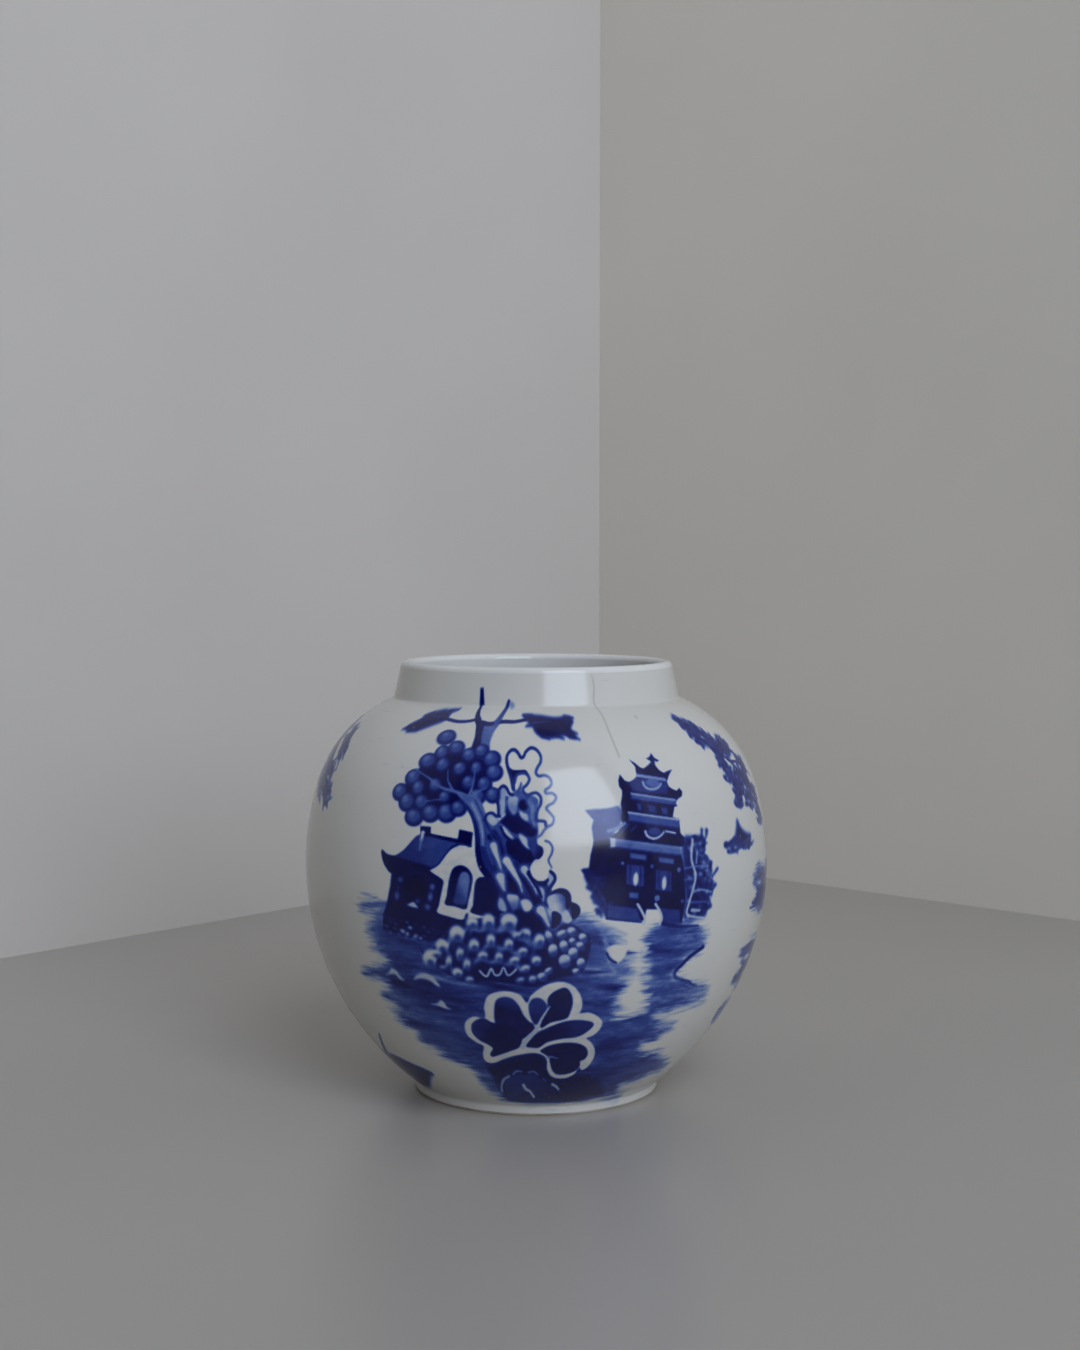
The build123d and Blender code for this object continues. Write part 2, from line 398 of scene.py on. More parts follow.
def paintCrown():
    trunk = 0.42
    fill(0.88, [(-28.9, 132.7), (-27.2, 132.8), (-26, 127.7), (-28.5, 127.6)], soft=0.6, straight=True)
    fill((trunk, 0.45, (-19, 122), (-20, 116)), [(-24, 122.6), (-19, 122.6), (-15, 123.2), (-16.4, 120.8),
                                                 (-17, 118), (-17, 115), (-23, 115), (-23.4, 119)],
         soft=0.5)
    fill(0.88, [(-24.2, 122.8), (-21.6, 123), (-21.2, 120), (-20.4, 116), (-23.2, 115), (-23.4, 119)],
         soft=0.5)
    stroke(0.86, [(-27.6, 128), (-27.4, 126.4), (-26, 124.4), (-24, 122.8), (-22.8, 121)], 1.0, 2.4)
    stroke(0.82, [(-46, 123.9), (-40, 123.6), (-34, 123.1), (-29, 123.3), (-25, 124)], 0.7, 0.8)
    stroke(0.84, [(-22.6, 123), (-19.4, 122.7), (-16, 123.2), (-13, 123.4), (-9, 123.4), (-4, 124)], 1.1, 0.8)
    stroke((0.5, 0.75, (-16, 124), (-13.6, 128.6)), [(-16.6, 123), (-15.2, 125.2), (-13.5, 128.8)], 2.2,
           1.4, soft=0.5)
    dot(0.25, -11.9, 127.8, 1.4, 1.0, turn=-20, soft=0.6)
    fill(0.88, [(-40, 124.8), (-42, 125.6), (-45.4, 126), (-50.6, 125), (-53, 123.4), (-55, 121.8),
                (-57, 120.8), (-55.6, 120), (-51, 119.8), (-47.6, 120.8), (-44, 122), (-40.6, 123.2)],
         soft=1.1)
    fill(0.92, [(-5.2, 125.1), (1.4, 125.1), (8.2, 124.5), (13.6, 124.7), (15.4, 123.8), (14.6, 122.4),
                (14, 121.4), (15, 119.8), (14.6, 118.9), (12.6, 119.4), (9.1, 119.8), (6.2, 119),
                (1.6, 119.6), (-0.4, 120.8), (-1.4, 122.2), (-3.3, 123.4)], soft=0.9)
    for x, y, dx, dy in ((-42, 125.6, 4.4, 0.7), (-44, 124.4, 3.6, -0.6), (-53, 122.6, -4, -1.4),
                         (-54, 121, -4.6, -0.8), (-51, 120.8, -4, -1.2), (-50, 124.6, -3.6, -0.4),
                         (12.6, 124.4, 3.6, 0), (12.8, 123.2, 2.6, 0.2), (13, 120.6, 3, -0.4),
                         (13, 119.6, 3.4, -1), (8, 119.8, 2.4, -1), (2.4, 119.8, 2.6, -1),
                         (-1, 122.8, -3, -0.6), (-2, 124.6, -4, 0.6)):
        stroke(0.84, [(x, y), (x + dx * 0.6, y + dy * 0.5), (x + dx, y + dy)], 1.3, 0.3, soft=0.9)
    stroke(0.6, [(-44, 124), (-50, 124.4)], 0.5, 0.2)
    stroke(0.62, [(-1, 123.2), (6, 123.6)], 0.5, 0.2)

    fill(0.93, [(-43.4, 107.6), (-39.4, 111), (-33.6, 114.6), (-29, 115.4), (-23.4, 114), (-16, 112.6),
                (-13.8, 109.6), (-16, 106.4), (-14.4, 103.8), (-17.6, 103), (-22.4, 101), (-26.6, 98.8),
                (-33, 98), (-38.4, 97.8), (-42.2, 101), (-45, 103)], soft=0.6)
    berries = ((-35.3, 119, 3.5, 1.7), (-34.5, 114.7, 2.5, 1.8), (-38.8, 112.2, 3.2, 2.0),
               (-29.5, 116.2, 2.9, 1.7), (-32.6, 111.4, 2.5, 1.9), (-23.8, 114.3, 2.6, 1.8),
               (-19.7, 115.5, 2.4, 1.7), (-15.4, 113.4, 2.8, 2.1), (-26.1, 110.5, 2.3, 1.8),
               (-20.3, 110.8, 1.9, 1.8), (-14, 109.8, 2.6, 2.1), (-42.6, 107.4, 2.8, 2.1),
               (-39.6, 104.6, 2.3, 2.0), (-33.6, 105.6, 2.2, 1.9), (-22.2, 106.8, 2.2, 1.9),
               (-16.8, 106.4, 2.2, 2.0), (-46.4, 103.1, 2.6, 2.2), (-42.8, 100.4, 2.9, 2.4),
               (-37.4, 100.6, 2.5, 2.1), (-39.4, 96.3, 3.0, 2.3), (-33.7, 97.7, 2.9, 2.3),
               (-28.2, 98.1, 2.9, 2.5), (-29.6, 102.4, 1.9, 1.6), (-24.5, 99.5, 2.4, 2.0),
               (-18.7, 103, 2.4, 2.0), (-13.7, 103.5, 2.2, 1.9))
    for x, y, rx, ry in berries:
        dot(0.84, x + 0.25, y - 0.35, rx + 0.35, ry + 0.3, soft=0.5)
        dot(0.54, x, y, rx, ry, edge=0.72, light=0.36, soft=0.35)
    branch = 0.42
    stroke(branch, [(-21, 102.4), (-25, 103.7), (-31, 104.9), (-36, 107.2), (-42.4, 109.6)], 1.3, 0.5)
    stroke(branch, [(-27, 104.4), (-29.2, 107), (-30, 109.8)], 0.8, 0.4)
    stroke(0.4, [(-21.4, 102.6), (-20.4, 106), (-20.4, 110)], 1.0, 0.4)
    stroke(0.42, [(-30.6, 101.6), (-33, 101.2), (-36, 100.8)], 0.5, 0.3)
    stroke(0.4, [(-21, 102.4), (-18.4, 104.2), (-16, 105.2)], 0.8, 0.4)


def paintTrunk():
    fill((0.42, 0.72, (-17, 99), (-13, 82)), [(-25, 103.4), (-22.4, 100.6), (-20, 98), (-18.2, 94.6),
                                              (-17.5, 91), (-17.4, 87), (-16.6, 83.4), (-14.6, 80.8),
                                              (-12, 78), (-9.6, 77), (-10.4, 81), (-11.8, 84.6),
                                              (-13, 88), (-13.8, 92), (-14.6, 95.4), (-16, 99.4),
                                              (-18.4, 102.4)], soft=0.4)
    stroke((0.7, 0.9, (-20, 99), (-17, 84)), [(-24, 101.6), (-20.6, 98.8), (-18.5, 95), (-17.6, 91),
                                              (-17.2, 87), (-16, 83), (-13.6, 80), (-11.6, 78)], 0.9, 2.2)
    stroke(0.26, [(-20, 100.6), (-17.6, 97), (-16.2, 93), (-15.8, 89)], 0.7, 0.9, soft=0.6)
    stroke(0.6, [(-19, 101.6), (-16.2, 97), (-15, 92), (-14.4, 88)], 0.4, 0.6)
    stroke(0.7, [(-16, 88.4), (-14.8, 85), (-12.6, 81)], 0.9, 1.4, soft=0.5)
    stroke(0.5, [(-14.6, 90), (-14, 87), (-12.6, 83.6)], 0.7, 0.4)


def paintRock():
    # shadowed body first, then the pale hollows, then the curling outlines
    fill((0.46, 0.72, (-8, 103), (-3, 80)), [(-15.4, 96), (-13, 95), (-10.6, 96.6), (-8.6, 99),
                                             (-8.4, 102.6), (-6, 104.8), (-3.4, 104), (0, 102.8),
                                             (0.8, 101.4), (0, 99), (0.2, 96), (0.8, 93.6), (0.4, 91),
                                             (0.6, 89.6), (2, 87.6), (1, 85.4), (-0.4, 85), (-1.8, 82),
                                             (0, 79), (3.2, 78.4), (4.6, 76), (3.6, 73), (4, 70), (5, 66),
                                             (-4, 65), (-9, 69), (-11.4, 72), (-11.4, 79), (-9.6, 83),
                                             (-12, 87), (-13.8, 91)])
    fill(0.93, [(-11.6, 76), (-10.4, 73), (-8, 70.4), (-5, 71), (-3, 69.6), (-0.6, 71), (0.6, 68.6),
                (3, 66), (4, 63.6), (-3, 63), (-6, 67), (-9, 69.6), (-12, 69)])
    for dark, outline in (
            (0.92, [(-10.6, 96), (-8.8, 97.6), (-7, 98), (-5.2, 98.6), (-4.4, 96.8), (-2.4, 95.6),
                    (-0.6, 94.9), (0.3, 93.4), (-0.4, 92), (-2.4, 91.8), (-4.2, 92.8), (-5.4, 92.5),
                    (-7, 92.9), (-8.8, 94.1), (-10, 94.9)]),
            (0.95, [(-8.7, 90.4), (-6.8, 91.2), (-4.6, 91), (-3.8, 89.6), (-1.8, 88.2), (-0.6, 85.8),
                    (-1, 84.8), (-2.6, 84), (-3.8, 82.6), (-5.4, 84.9), (-7.6, 85.6), (-8.5, 87.6)]),
            ((0.6, 0.92, (-1, 88), (1.6, 87)), [(-0.9, 89.6), (0.4, 89.4), (1.9, 88.7), (2.2, 87.2),
                                                (1.4, 85.8), (0, 85.5), (-0.8, 86.5), (-1, 88.2)]),
            (0.92, [(-8.2, 81.8), (-6.5, 80.2), (-5.1, 78.6), (-4.5, 76.5), (-5.2, 75.2), (-7, 75.3),
                    (-8.4, 76.8), (-8.8, 79.2)]),
            (0.9, [(-8.9, 103), (-8, 100), (-7, 97.4), (-8.4, 96.6), (-9.6, 99.4), (-9.8, 102)]),
            (0.9, [(-9.7, 111.4), (-7.8, 110.4), (-5.4, 110.3), (-3.4, 110.3), (-2.4, 109), (-3.9, 109.7),
                   (-6.1, 109), (-6.7, 107), (-6.8, 104.8), (-7.6, 105), (-8.4, 108.4)]),
            (0.92, [(-4.8, 76), (-3.4, 74.4), (-1.6, 74.2), (0, 76), (1.4, 73.4), (2.4, 71.4), (0, 71.8),
                    (-1, 73.6), (-2.6, 74.2), (-4.8, 73.8)]),):
        fill(dark, outline)
    dot(0.97, -3.9, 100.6, 1.6, 1.5, soft=0.5)
    for line, wide in (
            ([(-12.6, 92.6), (-11, 90), (-9.8, 87)], 1.6),
            ([(-9, 84.6), (-10.6, 80), (-11, 76)], 1.5),
            ([(-6.6, 84), (-4.6, 82), (-3.2, 79.6)], 1.5),
            ([(-6.4, 79), (-5.4, 77)], 1.4),
            ([(-2, 79), (0.6, 74.6), (2.4, 71.6)], 1.6),
            ([(-9, 76), (-6.6, 69)], 1.5),
            ([(-3.6, 69.6), (-0.6, 66.4)], 2.2),
            ([(-8, 96), (-3, 93)], 2.0)):
        stroke(0.93, line, wide, wide * 0.6, soft=0.8)
    for pale, outline in (
            ((0.3, 0.14, (-8, 99), (-7, 104)), [(-9, 101.4), (-8, 103), (-6.4, 103.2), (-5.5, 102.6),
                                                (-5.7, 100.6), (-5.9, 98.9), (-6.7, 97.9), (-8, 99)]),
            (0.08, [(-4.9, 99), (-3.6, 98.4), (-2.4, 98), (-2.2, 96.4), (-3.5, 96.5), (-4.8, 97.8)]),
            (0.1, [(-10.5, 94.9), (-9.3, 94.3), (-8.1, 93), (-6.6, 91.2), (-7.6, 91.2), (-9.3, 92.3),
                   (-10.5, 93.6)]),
            (0.08, [(-5, 92.4), (-3.8, 92), (-2.6, 91), (-2.4, 89.3), (-1.9, 88.2), (-3, 88.8),
                    (-4.2, 90.1), (-4.9, 91.3)]),
            (0.2, [(-11, 104.8), (-10, 105), (-9.4, 102), (-9.6, 98.8), (-10.7, 98.2), (-11, 101)]),
            (0.12,
             [(-14.6, 97.1), (-13.4, 97.6), (-12, 96.6), (-11.8, 95.4), (-13, 94.7), (-14.2, 95.6)]),
            (0.15, [(-10.9, 80), (-9.6, 79.8), (-8.8, 78.4), (-9, 77), (-9.6, 76.4), (-10.7, 78)]),
            ((0.1, 0.45, (-7, 75), (-7, 71)), [(-8.3, 75), (-6.6, 75.1), (-5.2, 74.6), (-4.9, 73),
                                               (-5.5, 71.2), (-6.7, 70.4), (-7.5, 72), (-8.3, 73.6)]),
            (0.08, [(-4.4, 73.2), (-3, 73.8), (-1.7, 73.2), (-1, 71.8), (-1.8, 70.4), (-3.2, 70.2),
                    (-4, 71.6)]),
            (0.22, [(-10.8, 73.6), (-10, 74), (-9, 72.5), (-8.5, 70.4), (-9.6, 70.1), (-11, 71.2)]),
            ((0.06, 0.5, (2, 70), (4.4, 65.6)), [(0.8, 70.6), (1.6, 71.5), (3.2, 71.2), (4.4, 70.2),
                                                 (5, 69), (4.8, 67.4), (4.3, 65.4), (3, 67.2),
                                                 (1.6, 69)]),
            (0.14, [(1, 77.4), (2.2, 76.8), (2.5, 75), (2.2, 73), (1.4, 74.6), (0.8, 76)]),):
        fill(0.5, outline, soft=1.5)
        fill(pale, outline, soft=0.5)
    # long fingers running down the face
    for tone, line, wide, thin in (
            (0.88, [(-14.2, 91.6), (-13, 89.8), (-12.8, 88), (-11.8, 85.5), (-10.4, 83), (-9.7, 80.5),
                    (-9.7, 78)], 1.0, 0.9),
            (0.1, [(-12.6, 89), (-11.9, 87), (-10.9, 84.6), (-9.9, 81.6)], 2.0, 0.3),
            (0.86, [(-9.7, 86.3), (-8.8, 83.4), (-6.9, 80.4), (-5, 77.8)], 0.8, 0.8),
            (0.08, [(-8.6, 84.8), (-7.4, 83), (-6, 80.8), (-4.7, 78.4), (-4, 76)], 2.2, 0.3),
            (0.86, [(-10.6, 94.4), (-9.4, 92.2), (-7.4, 90.4)], 0.8, 0.8),
            (0.92, [(-4.8, 82), (-3.2, 79.2), (-1.6, 76.2), (-0.4, 73.5), (0.2, 71), (1.4, 67.6)], 1.4,
             1.0),
            (0.1, [(-3.4, 82.4), (-2.5, 81.2), (-1.4, 79.4), (-0.4, 77.4), (0.3, 75.4)], 2.1, 0.3),
            (0.88, [(-2.3, 81.2), (-0.9, 78.9), (0.8, 76.4), (1.6, 74.4)], 0.8, 0.7),
            (0.5, [(-6, 103.6), (-5, 105.6), (-4.7, 106.8)], 1.2, 0.6),
            (0.35, [(-1.9, 101.6), (-1, 100), (-1.2, 97.6), (-0.4, 95)], 1.3, 0.8),
            (0.14, [(-10.4, 80.2), (-9.9, 78.4), (-9.1, 76.2)], 2.4, 0.5),
            (0.14, [(-8.2, 66.8), (-7.6, 65.4), (-6.6, 64)], 1.2, 0.4),
            (0.1, [(1.4, 70.6), (2.4, 69), (3.8, 66)], 2.4, 0.6),):
        if tone < 0.4:
            stroke(0.48, line, wide + 1.4, thin + 1.0, soft=0.9)
        stroke(tone, line, wide, thin)
    # outlines of the pierced lobes along the top and right
    stroke((0.72, 0.42, (-8, 112), (4, 104)), [(-7, 105), (-8.2, 108.5), (-9.6, 111.5), (-10.1, 114),
                                               (-9, 115.6), (-7.5, 115.8), (-6.2, 114.9), (-5.2, 113.8),
                                               (-4.3, 114), (-3.5, 115.4), (-1.8, 116.4), (0.2, 115.9),
                                               (1.6, 114.3), (1.6, 112.6), (0.5, 111), (0, 109.6),
                                               (1, 108.7), (2.8, 108.9), (4.4, 108.2), (5, 106.8),
                                               (4.3, 105.6), (3, 104.8), (3.3, 103.9), (5.2, 103.9),
                                               (6.3, 102.8), (5.4, 101.3), (4, 100.6), (3.2, 99.7),
                                               (4.3, 98.4), (5.4, 97), (5, 95.3), (3.6, 94.5),
                                               (2.5, 93.6), (1.6, 92.3), (0.6, 91.6)], 1.0, 0.8,
           soft=0.35)
    stroke(0.6, [(-6.8, 107), (-6.3, 108.9), (-4.6, 109.5), (-3, 109.2), (-2.1, 107.8), (-2.9, 106.3),
                 (-4, 105.4), (-3.9, 104.3), (-2.6, 103.4), (-1.2, 103.9), (0.3, 104), (1.5, 102.8),
                 (1.5, 101), (0.6, 99.4), (0.2, 97.4), (0.3, 96.3), (1.6, 96.2), (2.8, 95.9), (3, 94.8)],
           0.9, 0.9, soft=0.35)
    stroke(0.76, [(-11.4, 98), (-11.6, 100), (-12, 102.8), (-11.6, 105), (-10.4, 105.9), (-9.2, 105.2),
                  (-8.4, 103.9), (-7.2, 103.4)], 0.9, 0.8)
    stroke(0.74, [(-15.7, 96.4), (-14.9, 97.9), (-13.4, 98.3), (-12.2, 97.5), (-11, 97.4)], 0.7, 0.9)
    stroke(0.72, [(-15.4, 96), (-14, 93.6), (-12, 92), (-11, 90.4)], 0.7, 0.7)
    stroke(0.5, [(2.9, 90.5), (4, 90.1), (4.9, 88.6), (4.6, 86.8), (3.8, 85.4), (3.9, 84.2), (4.6, 83)],
           0.8, 0.6)
    dot(0.0, 1.3, 82.1, 3.0, 2.9, soft=0.3)
    stroke(0.9, [(-2.1, 81.8), (-1.1, 79.8), (0.6, 78.7), (2.6, 78.8), (3.9, 79.8)], 0.8, 0.7)
    stroke(0.85, [(1, 78.3), (2.4, 78.2), (3.2, 78.8)], 1.0, 0.9)
    stroke(0.2, [(4.1, 80.8), (4.3, 79.4), (3.9, 77.8)], 1.2, 0.8)
    stroke(0.8, [(4.3, 81.8), (5.3, 80.8), (5.5, 79.4), (4.6, 77.8), (3.6, 76.4), (3.4, 74.8)], 1.0, 0.9)
    # the lobed boulder at its foot
    fill((0.1, 0.5, (5.4, 72), (9, 73)), [(3.6, 74.8), (4.8, 75.9), (6.6, 76.5), (8.6, 76.2), (10, 74.8),
                                          (10.2, 72.9), (11.6, 72.4), (12.8, 71.2), (12.7, 69.4),
                                          (11.6, 68), (11, 66.8), (8.6, 66.8), (6.6, 68.6), (5.2, 70.1),
                                          (4, 71.8), (3.2, 73.2)])
    fill(0.12, [(8.8, 70.6), (10, 69.2), (10.6, 67.6), (9.4, 66.6), (7.8, 67.6), (7.6, 69.4)])
    fill(0.92, [(3.8, 74.9), (5, 76.2), (7.2, 76.9), (9.2, 76.3), (10.2, 74.6), (10.2, 72.6), (9.4, 70.8),
                (8.7, 71.6), (8.7, 73.8), (7.6, 75.2), (5.8, 75.5)])
    fill(0.95, [(9.8, 72.5), (11.2, 72.5), (12.6, 71.5), (13, 70), (12.4, 68.6), (11.2, 67.8), (10.5, 68.4),
                (10.2, 70.4)])
    fill(0.93, [(4.8, 70), (6.3, 69.9), (7.4, 68.7), (7.2, 67), (5.8, 65.5), (4.5, 65.2), (4.7, 67.4)])


def paintHouse():
    fill(0.92, [(-45.6, 79.6), (-28, 78.6), (-20, 70), (-20.6, 62), (-27, 60.2), (-36, 60), (-49.6, 62),
                (-49.2, 66), (-47.4, 70), (-46, 75.5)], straight=True, soft=0.6)
    fill(1.0, [(-40.4, 79), (-33.4, 78.6), (-34.6, 71.4), (-40.4, 72)], soft=0.8)
    for x, y, rx, ry, tone in ((-42.3, 77.6, 1.0, 0.8, 0.5), (-43.6, 72.7, 0.9, 1.3, 0.5),
                               (-43, 75.2, 0.5, 0.5, 0.7), (-31.3, 76.3, 0.9, 0.9, 0.46),
                               (-31.9, 73.3, 0.9, 1.3, 0.45), (-32.9, 70.2, 1.0, 0.9, 0.46),
                               (-36.2, 71.7, 0.8, 0.7, 0.55)):
        dot(tone, x, y, rx, ry, turn=-8, soft=0.6)
    fill(0.12, [(-39.9, 70.2), (-38.4, 71.2), (-37.3, 71.2), (-36.1, 69.6)], soft=0.5)
    draw = np.random.default_rng(4)
    for row in range(4):                     # courses of the low wall
        for k in range(9):
            x = -48 + 2.7 * k + 1.3 * (row % 2) + draw.normal() * 0.2
            y = 66 - 1.45 * row - 0.13 * (x + 48) + draw.normal() * 0.15
            dot(draw.choice([0.5, 0.62, 0.75, 0.8]), x, y, 0.7, 0.42, turn=-8, soft=0.4)
    for x, y, rx, ry in ((-42, 62.1, 0.9, 0.7), (-40.4, 61.5, 0.7, 0.6), (-39.3, 63.5, 0.8, 0.6),
                         (-37.6, 61, 0.8, 0.6), (-35.8, 60.6, 0.7, 0.5)):
        dot(0.3, x, y, rx, ry, soft=0.4)
    fill((0.72, 0.58, (-42, 85), (-30, 88)), [(-45.5, 84), (-44, 84.8), (-41.4, 86.6), (-38.6, 89.6),
                                              (-36.8, 91), (-33, 91.3), (-23.8, 90), (-23.6, 88.6),
                                              (-26.6, 87), (-28.6, 84.4), (-31.4, 81.4), (-36, 81.8),
                                              (-41, 82.8)], soft=0.4)
    stroke(0.93, [(-34, 91.4), (-23.6, 90)], 0.9, 1.1)
    fill(0.95, [(-36.5, 93.6), (-32.8, 93.6), (-32.7, 91), (-36, 90.6)], straight=True)
    fill(0.97, [(-23.4, 93.3), (-19.1, 92.6), (-19.3, 88.6), (-23.7, 89.6)], straight=True)
    stroke(0.1, [(-35.3, 91.8), (-35.7, 89.8)], 1.3, 1.0)
    stroke(0.32, [(-35.7, 89.8), (-36, 86.8)], 0.8, 0.5, soft=0.5)
    fill(0.94, [(-50.1, 85.7), (-47.6, 84.6), (-44, 84.2), (-38, 83.1), (-33, 82.3), (-31.2, 81.2),
                (-28.2, 78.8), (-28.6, 77.2), (-36, 78.4), (-45.4, 79.2), (-47.6, 80.4), (-49.3, 82.6)],
         soft=0.4)
    # gable, with the arched window
    fill(0.02, [(-32.2, 81), (-30, 82.2), (-28, 84.6), (-26.4, 86.8), (-24.5, 88.2), (-22, 88.7),
                (-19.8, 88.2), (-18.2, 86.4), (-17.3, 84), (-16.4, 81.8), (-14.2, 79.7), (-15.6, 79),
                (-17.4, 79.1), (-17.9, 76), (-18.6, 72.4), (-19.2, 69.6), (-20.6, 69), (-21.6, 67.2),
                (-25, 67.6), (-29.7, 68.8), (-29.2, 71), (-28.4, 74.6), (-27.7, 78), (-28.6, 79)])
    stroke(0.8, [(-32, 81.6), (-29.6, 83), (-27.6, 85.6), (-25.6, 87.9), (-22.6, 89.2), (-19.6, 88.7)],
           0.5, 0.7)
    fill(0.94, [(-27.1, 71.5), (-26.6, 74), (-25.7, 79.4), (-24.7, 82), (-22.8, 83), (-20.9, 82.7),
                (-19.4, 81.4), (-18.7, 79.4), (-19.2, 76), (-20, 72.6), (-20.8, 70.4), (-24, 71)])
    fill((0.6, 0.36, (-24, 75), (-20.4, 77)), [(-24.4, 72), (-24, 75), (-22.9, 79.6), (-21.7, 81.2),
                                               (-20.1, 81), (-19.4, 79.3), (-19.8, 76), (-20.8, 71.8)],
         soft=0.5)
    fill(0.93, [(-17.5, 79), (-14, 79.7), (-11.4, 78.2), (-10.6, 74), (-10.6, 69), (-13, 68.4),
                (-19, 69.4), (-18.4, 72)])


def paintBush():
    fill(0.9, [(-36, 56), (-33, 57), (-30.5, 59), (-28.5, 61), (-26, 64.5), (-23.5, 65.5), (-20, 67.6),
               (-16, 67.8), (-14.5, 69.2), (-11.5, 68.5), (-8.5, 69.6), (-5.8, 68.4), (-4.6, 66),
               (-2.5, 65.8), (-1, 64.4), (1, 65), (3.4, 65), (6, 63), (7, 65.6), (10.5, 66.2), (14, 63.9),
               (16.4, 61.4), (16, 57.6), (15.2, 54), (13.6, 51), (9, 50.3), (4, 49), (0, 47.3),
               (-8, 48.2), (-14, 48.8), (-22, 48.3), (-27, 50), (-31, 52)], soft=0.5)
    for line, tone, wide in (
            ([(-34, 53), (-31.4, 55.6), (-29, 57.4), (-26.4, 58.6), (-25.4, 61.2), (-23, 62.2),
              (-20.8, 63.4), (-19, 65), (-16.4, 64.8), (-14, 65.6), (-11, 64.8), (-8, 65.4), (-5.4, 62.8),
              (-3.2, 62.2), (-0.8, 60.4), (1.2, 60.2)], 0.34, 2.3),
            ([(-23.6, 55.4), (-21.4, 57.8), (-18.6, 59), (-16, 58.8), (-13.4, 60.2), (-10.4, 59),
              (-8, 59.2), (-5.8, 57.4), (-3.8, 57.2)], 0.4, 1.6),
            ([(-21.4, 52.4), (-18.4, 54.8), (-16, 55.6), (-13.4, 54.8), (-11, 55.2), (-8.6, 54.2),
              (-6.4, 54.6), (-4.6, 52.6)], 0.4, 1.5),
            ([(-23, 61), (-20.6, 58.6), (-22, 56)], 0.6, 0.8),
            ([(-1.6, 60.8), (-0.6, 58.4), (-2, 56.6)], 0.55, 0.8)):
        stroke(tone, line, wide, wide, soft=0.9)
    petals = ((-18.8, 66.8, 1.7, 1.5), (-13.9, 67.5, 1.8, 2.0), (-7.8, 67.6, 2.3, 2.2),
              (-23.7, 63.3, 2.2, 2.3), (-3, 63.9, 1.6, 1.5), (-5.5, 63.2, 1.0, 0.8),
              (-28.7, 59.2, 2.0, 2.0), (-33.3, 55, 2.2, 2.5), (-30.9, 56.5, 1.8, 1.0),
              (-18.5, 60.1, 1.5, 1.7), (-13.3, 61.8, 1.3, 1.7), (-7.9, 60.7, 1.3, 1.5),
              (1.2, 62.1, 1.5, 1.7), (-3.8, 58.5, 1.4, 1.1), (-15.9, 56.9, 1.5, 1.2),
              (-11, 56.6, 1.2, 1.5), (-6.3, 55.7, 1.5, 1.1), (0.2, 55.7, 1.4, 1.4),
              (-23.2, 57.2, 1.1, 1.7), (-27, 54.3, 1.0, 2.0), (-29, 52.2, 1.1, 0.6),
              (-21.2, 53.9, 1.1, 1.8), (-24.4, 51.1, 1.7, 1.4), (-20.6, 49.1, 1.3, 0.9),
              (-3, 53.2, 1.3, 1.1), (-1, 49.9, 1.2, 1.0), (-4.6, 49.5, 1.2, 0.8))
    for x, y, rx, ry in petals:
        dot((0.06, 0.6, (x - 0.2, y + ry * 0.1), (x + 0.3, y - ry * 1.7)), x, y - ry * 0.25, rx * 1.15,
            ry * 1.2, turn=6 + 0.9 * (x + 8), soft=0.85)
        dot(0.62, x + 0.1, y - ry * 0.75, rx * 0.42, ry * 0.42, soft=0.8)
        dot(0.88, x + rx * 1.45, y - ry * 0.4, rx * 0.3, ry * 0.9, turn=-16, soft=0.7)
    stroke(0.16, [(-17.2, 51.8), (-16.2, 50.7), (-15, 50.3), (-13.6, 52.7), (-12.6, 50.8), (-11, 51),
                  (-9.8, 53.1), (-8.6, 50.8), (-7, 51.6), (-6, 52.7)], 0.8, 0.7)
    pebbles = ((3.8, 63.1, 1.0, 1.7, 25), (7.6, 63.7, 1.6, 1.0, 20), (10.6, 64.4, 1.5, 1.1, -25),
               (13.9, 62.4, 1.4, 1.1, -30), (10.8, 61.4, 1.1, 0.9, -20), (13.2, 59.9, 1.4, 1.0, -30),
               (8.2, 60.1, 1.3, 1.5, 10), (5, 58.9, 1.4, 1.7, -10), (11.1, 57.9, 1.5, 1.5, 0),
               (8.6, 55.5, 1.8, 1.8, 0), (13.6, 54.7, 1.3, 1.4, 20), (12.3, 52.1, 1.3, 0.8, -10),
               (1.9, 50.7, 1.5, 1.1, 0), (3.8, 52.5, 1.3, 0.8, 30))
    for x, y, rx, ry, turn in pebbles:
        dot(0.55, x + 0.2, y - 0.7, rx, ry, turn=turn, soft=0.5)
        dot((0.1, 0.75, (x - 0.3, y + ry * 0.2), (x + 0.5, y - ry * 1.2)), x, y, rx, ry, turn=turn, soft=0.45)


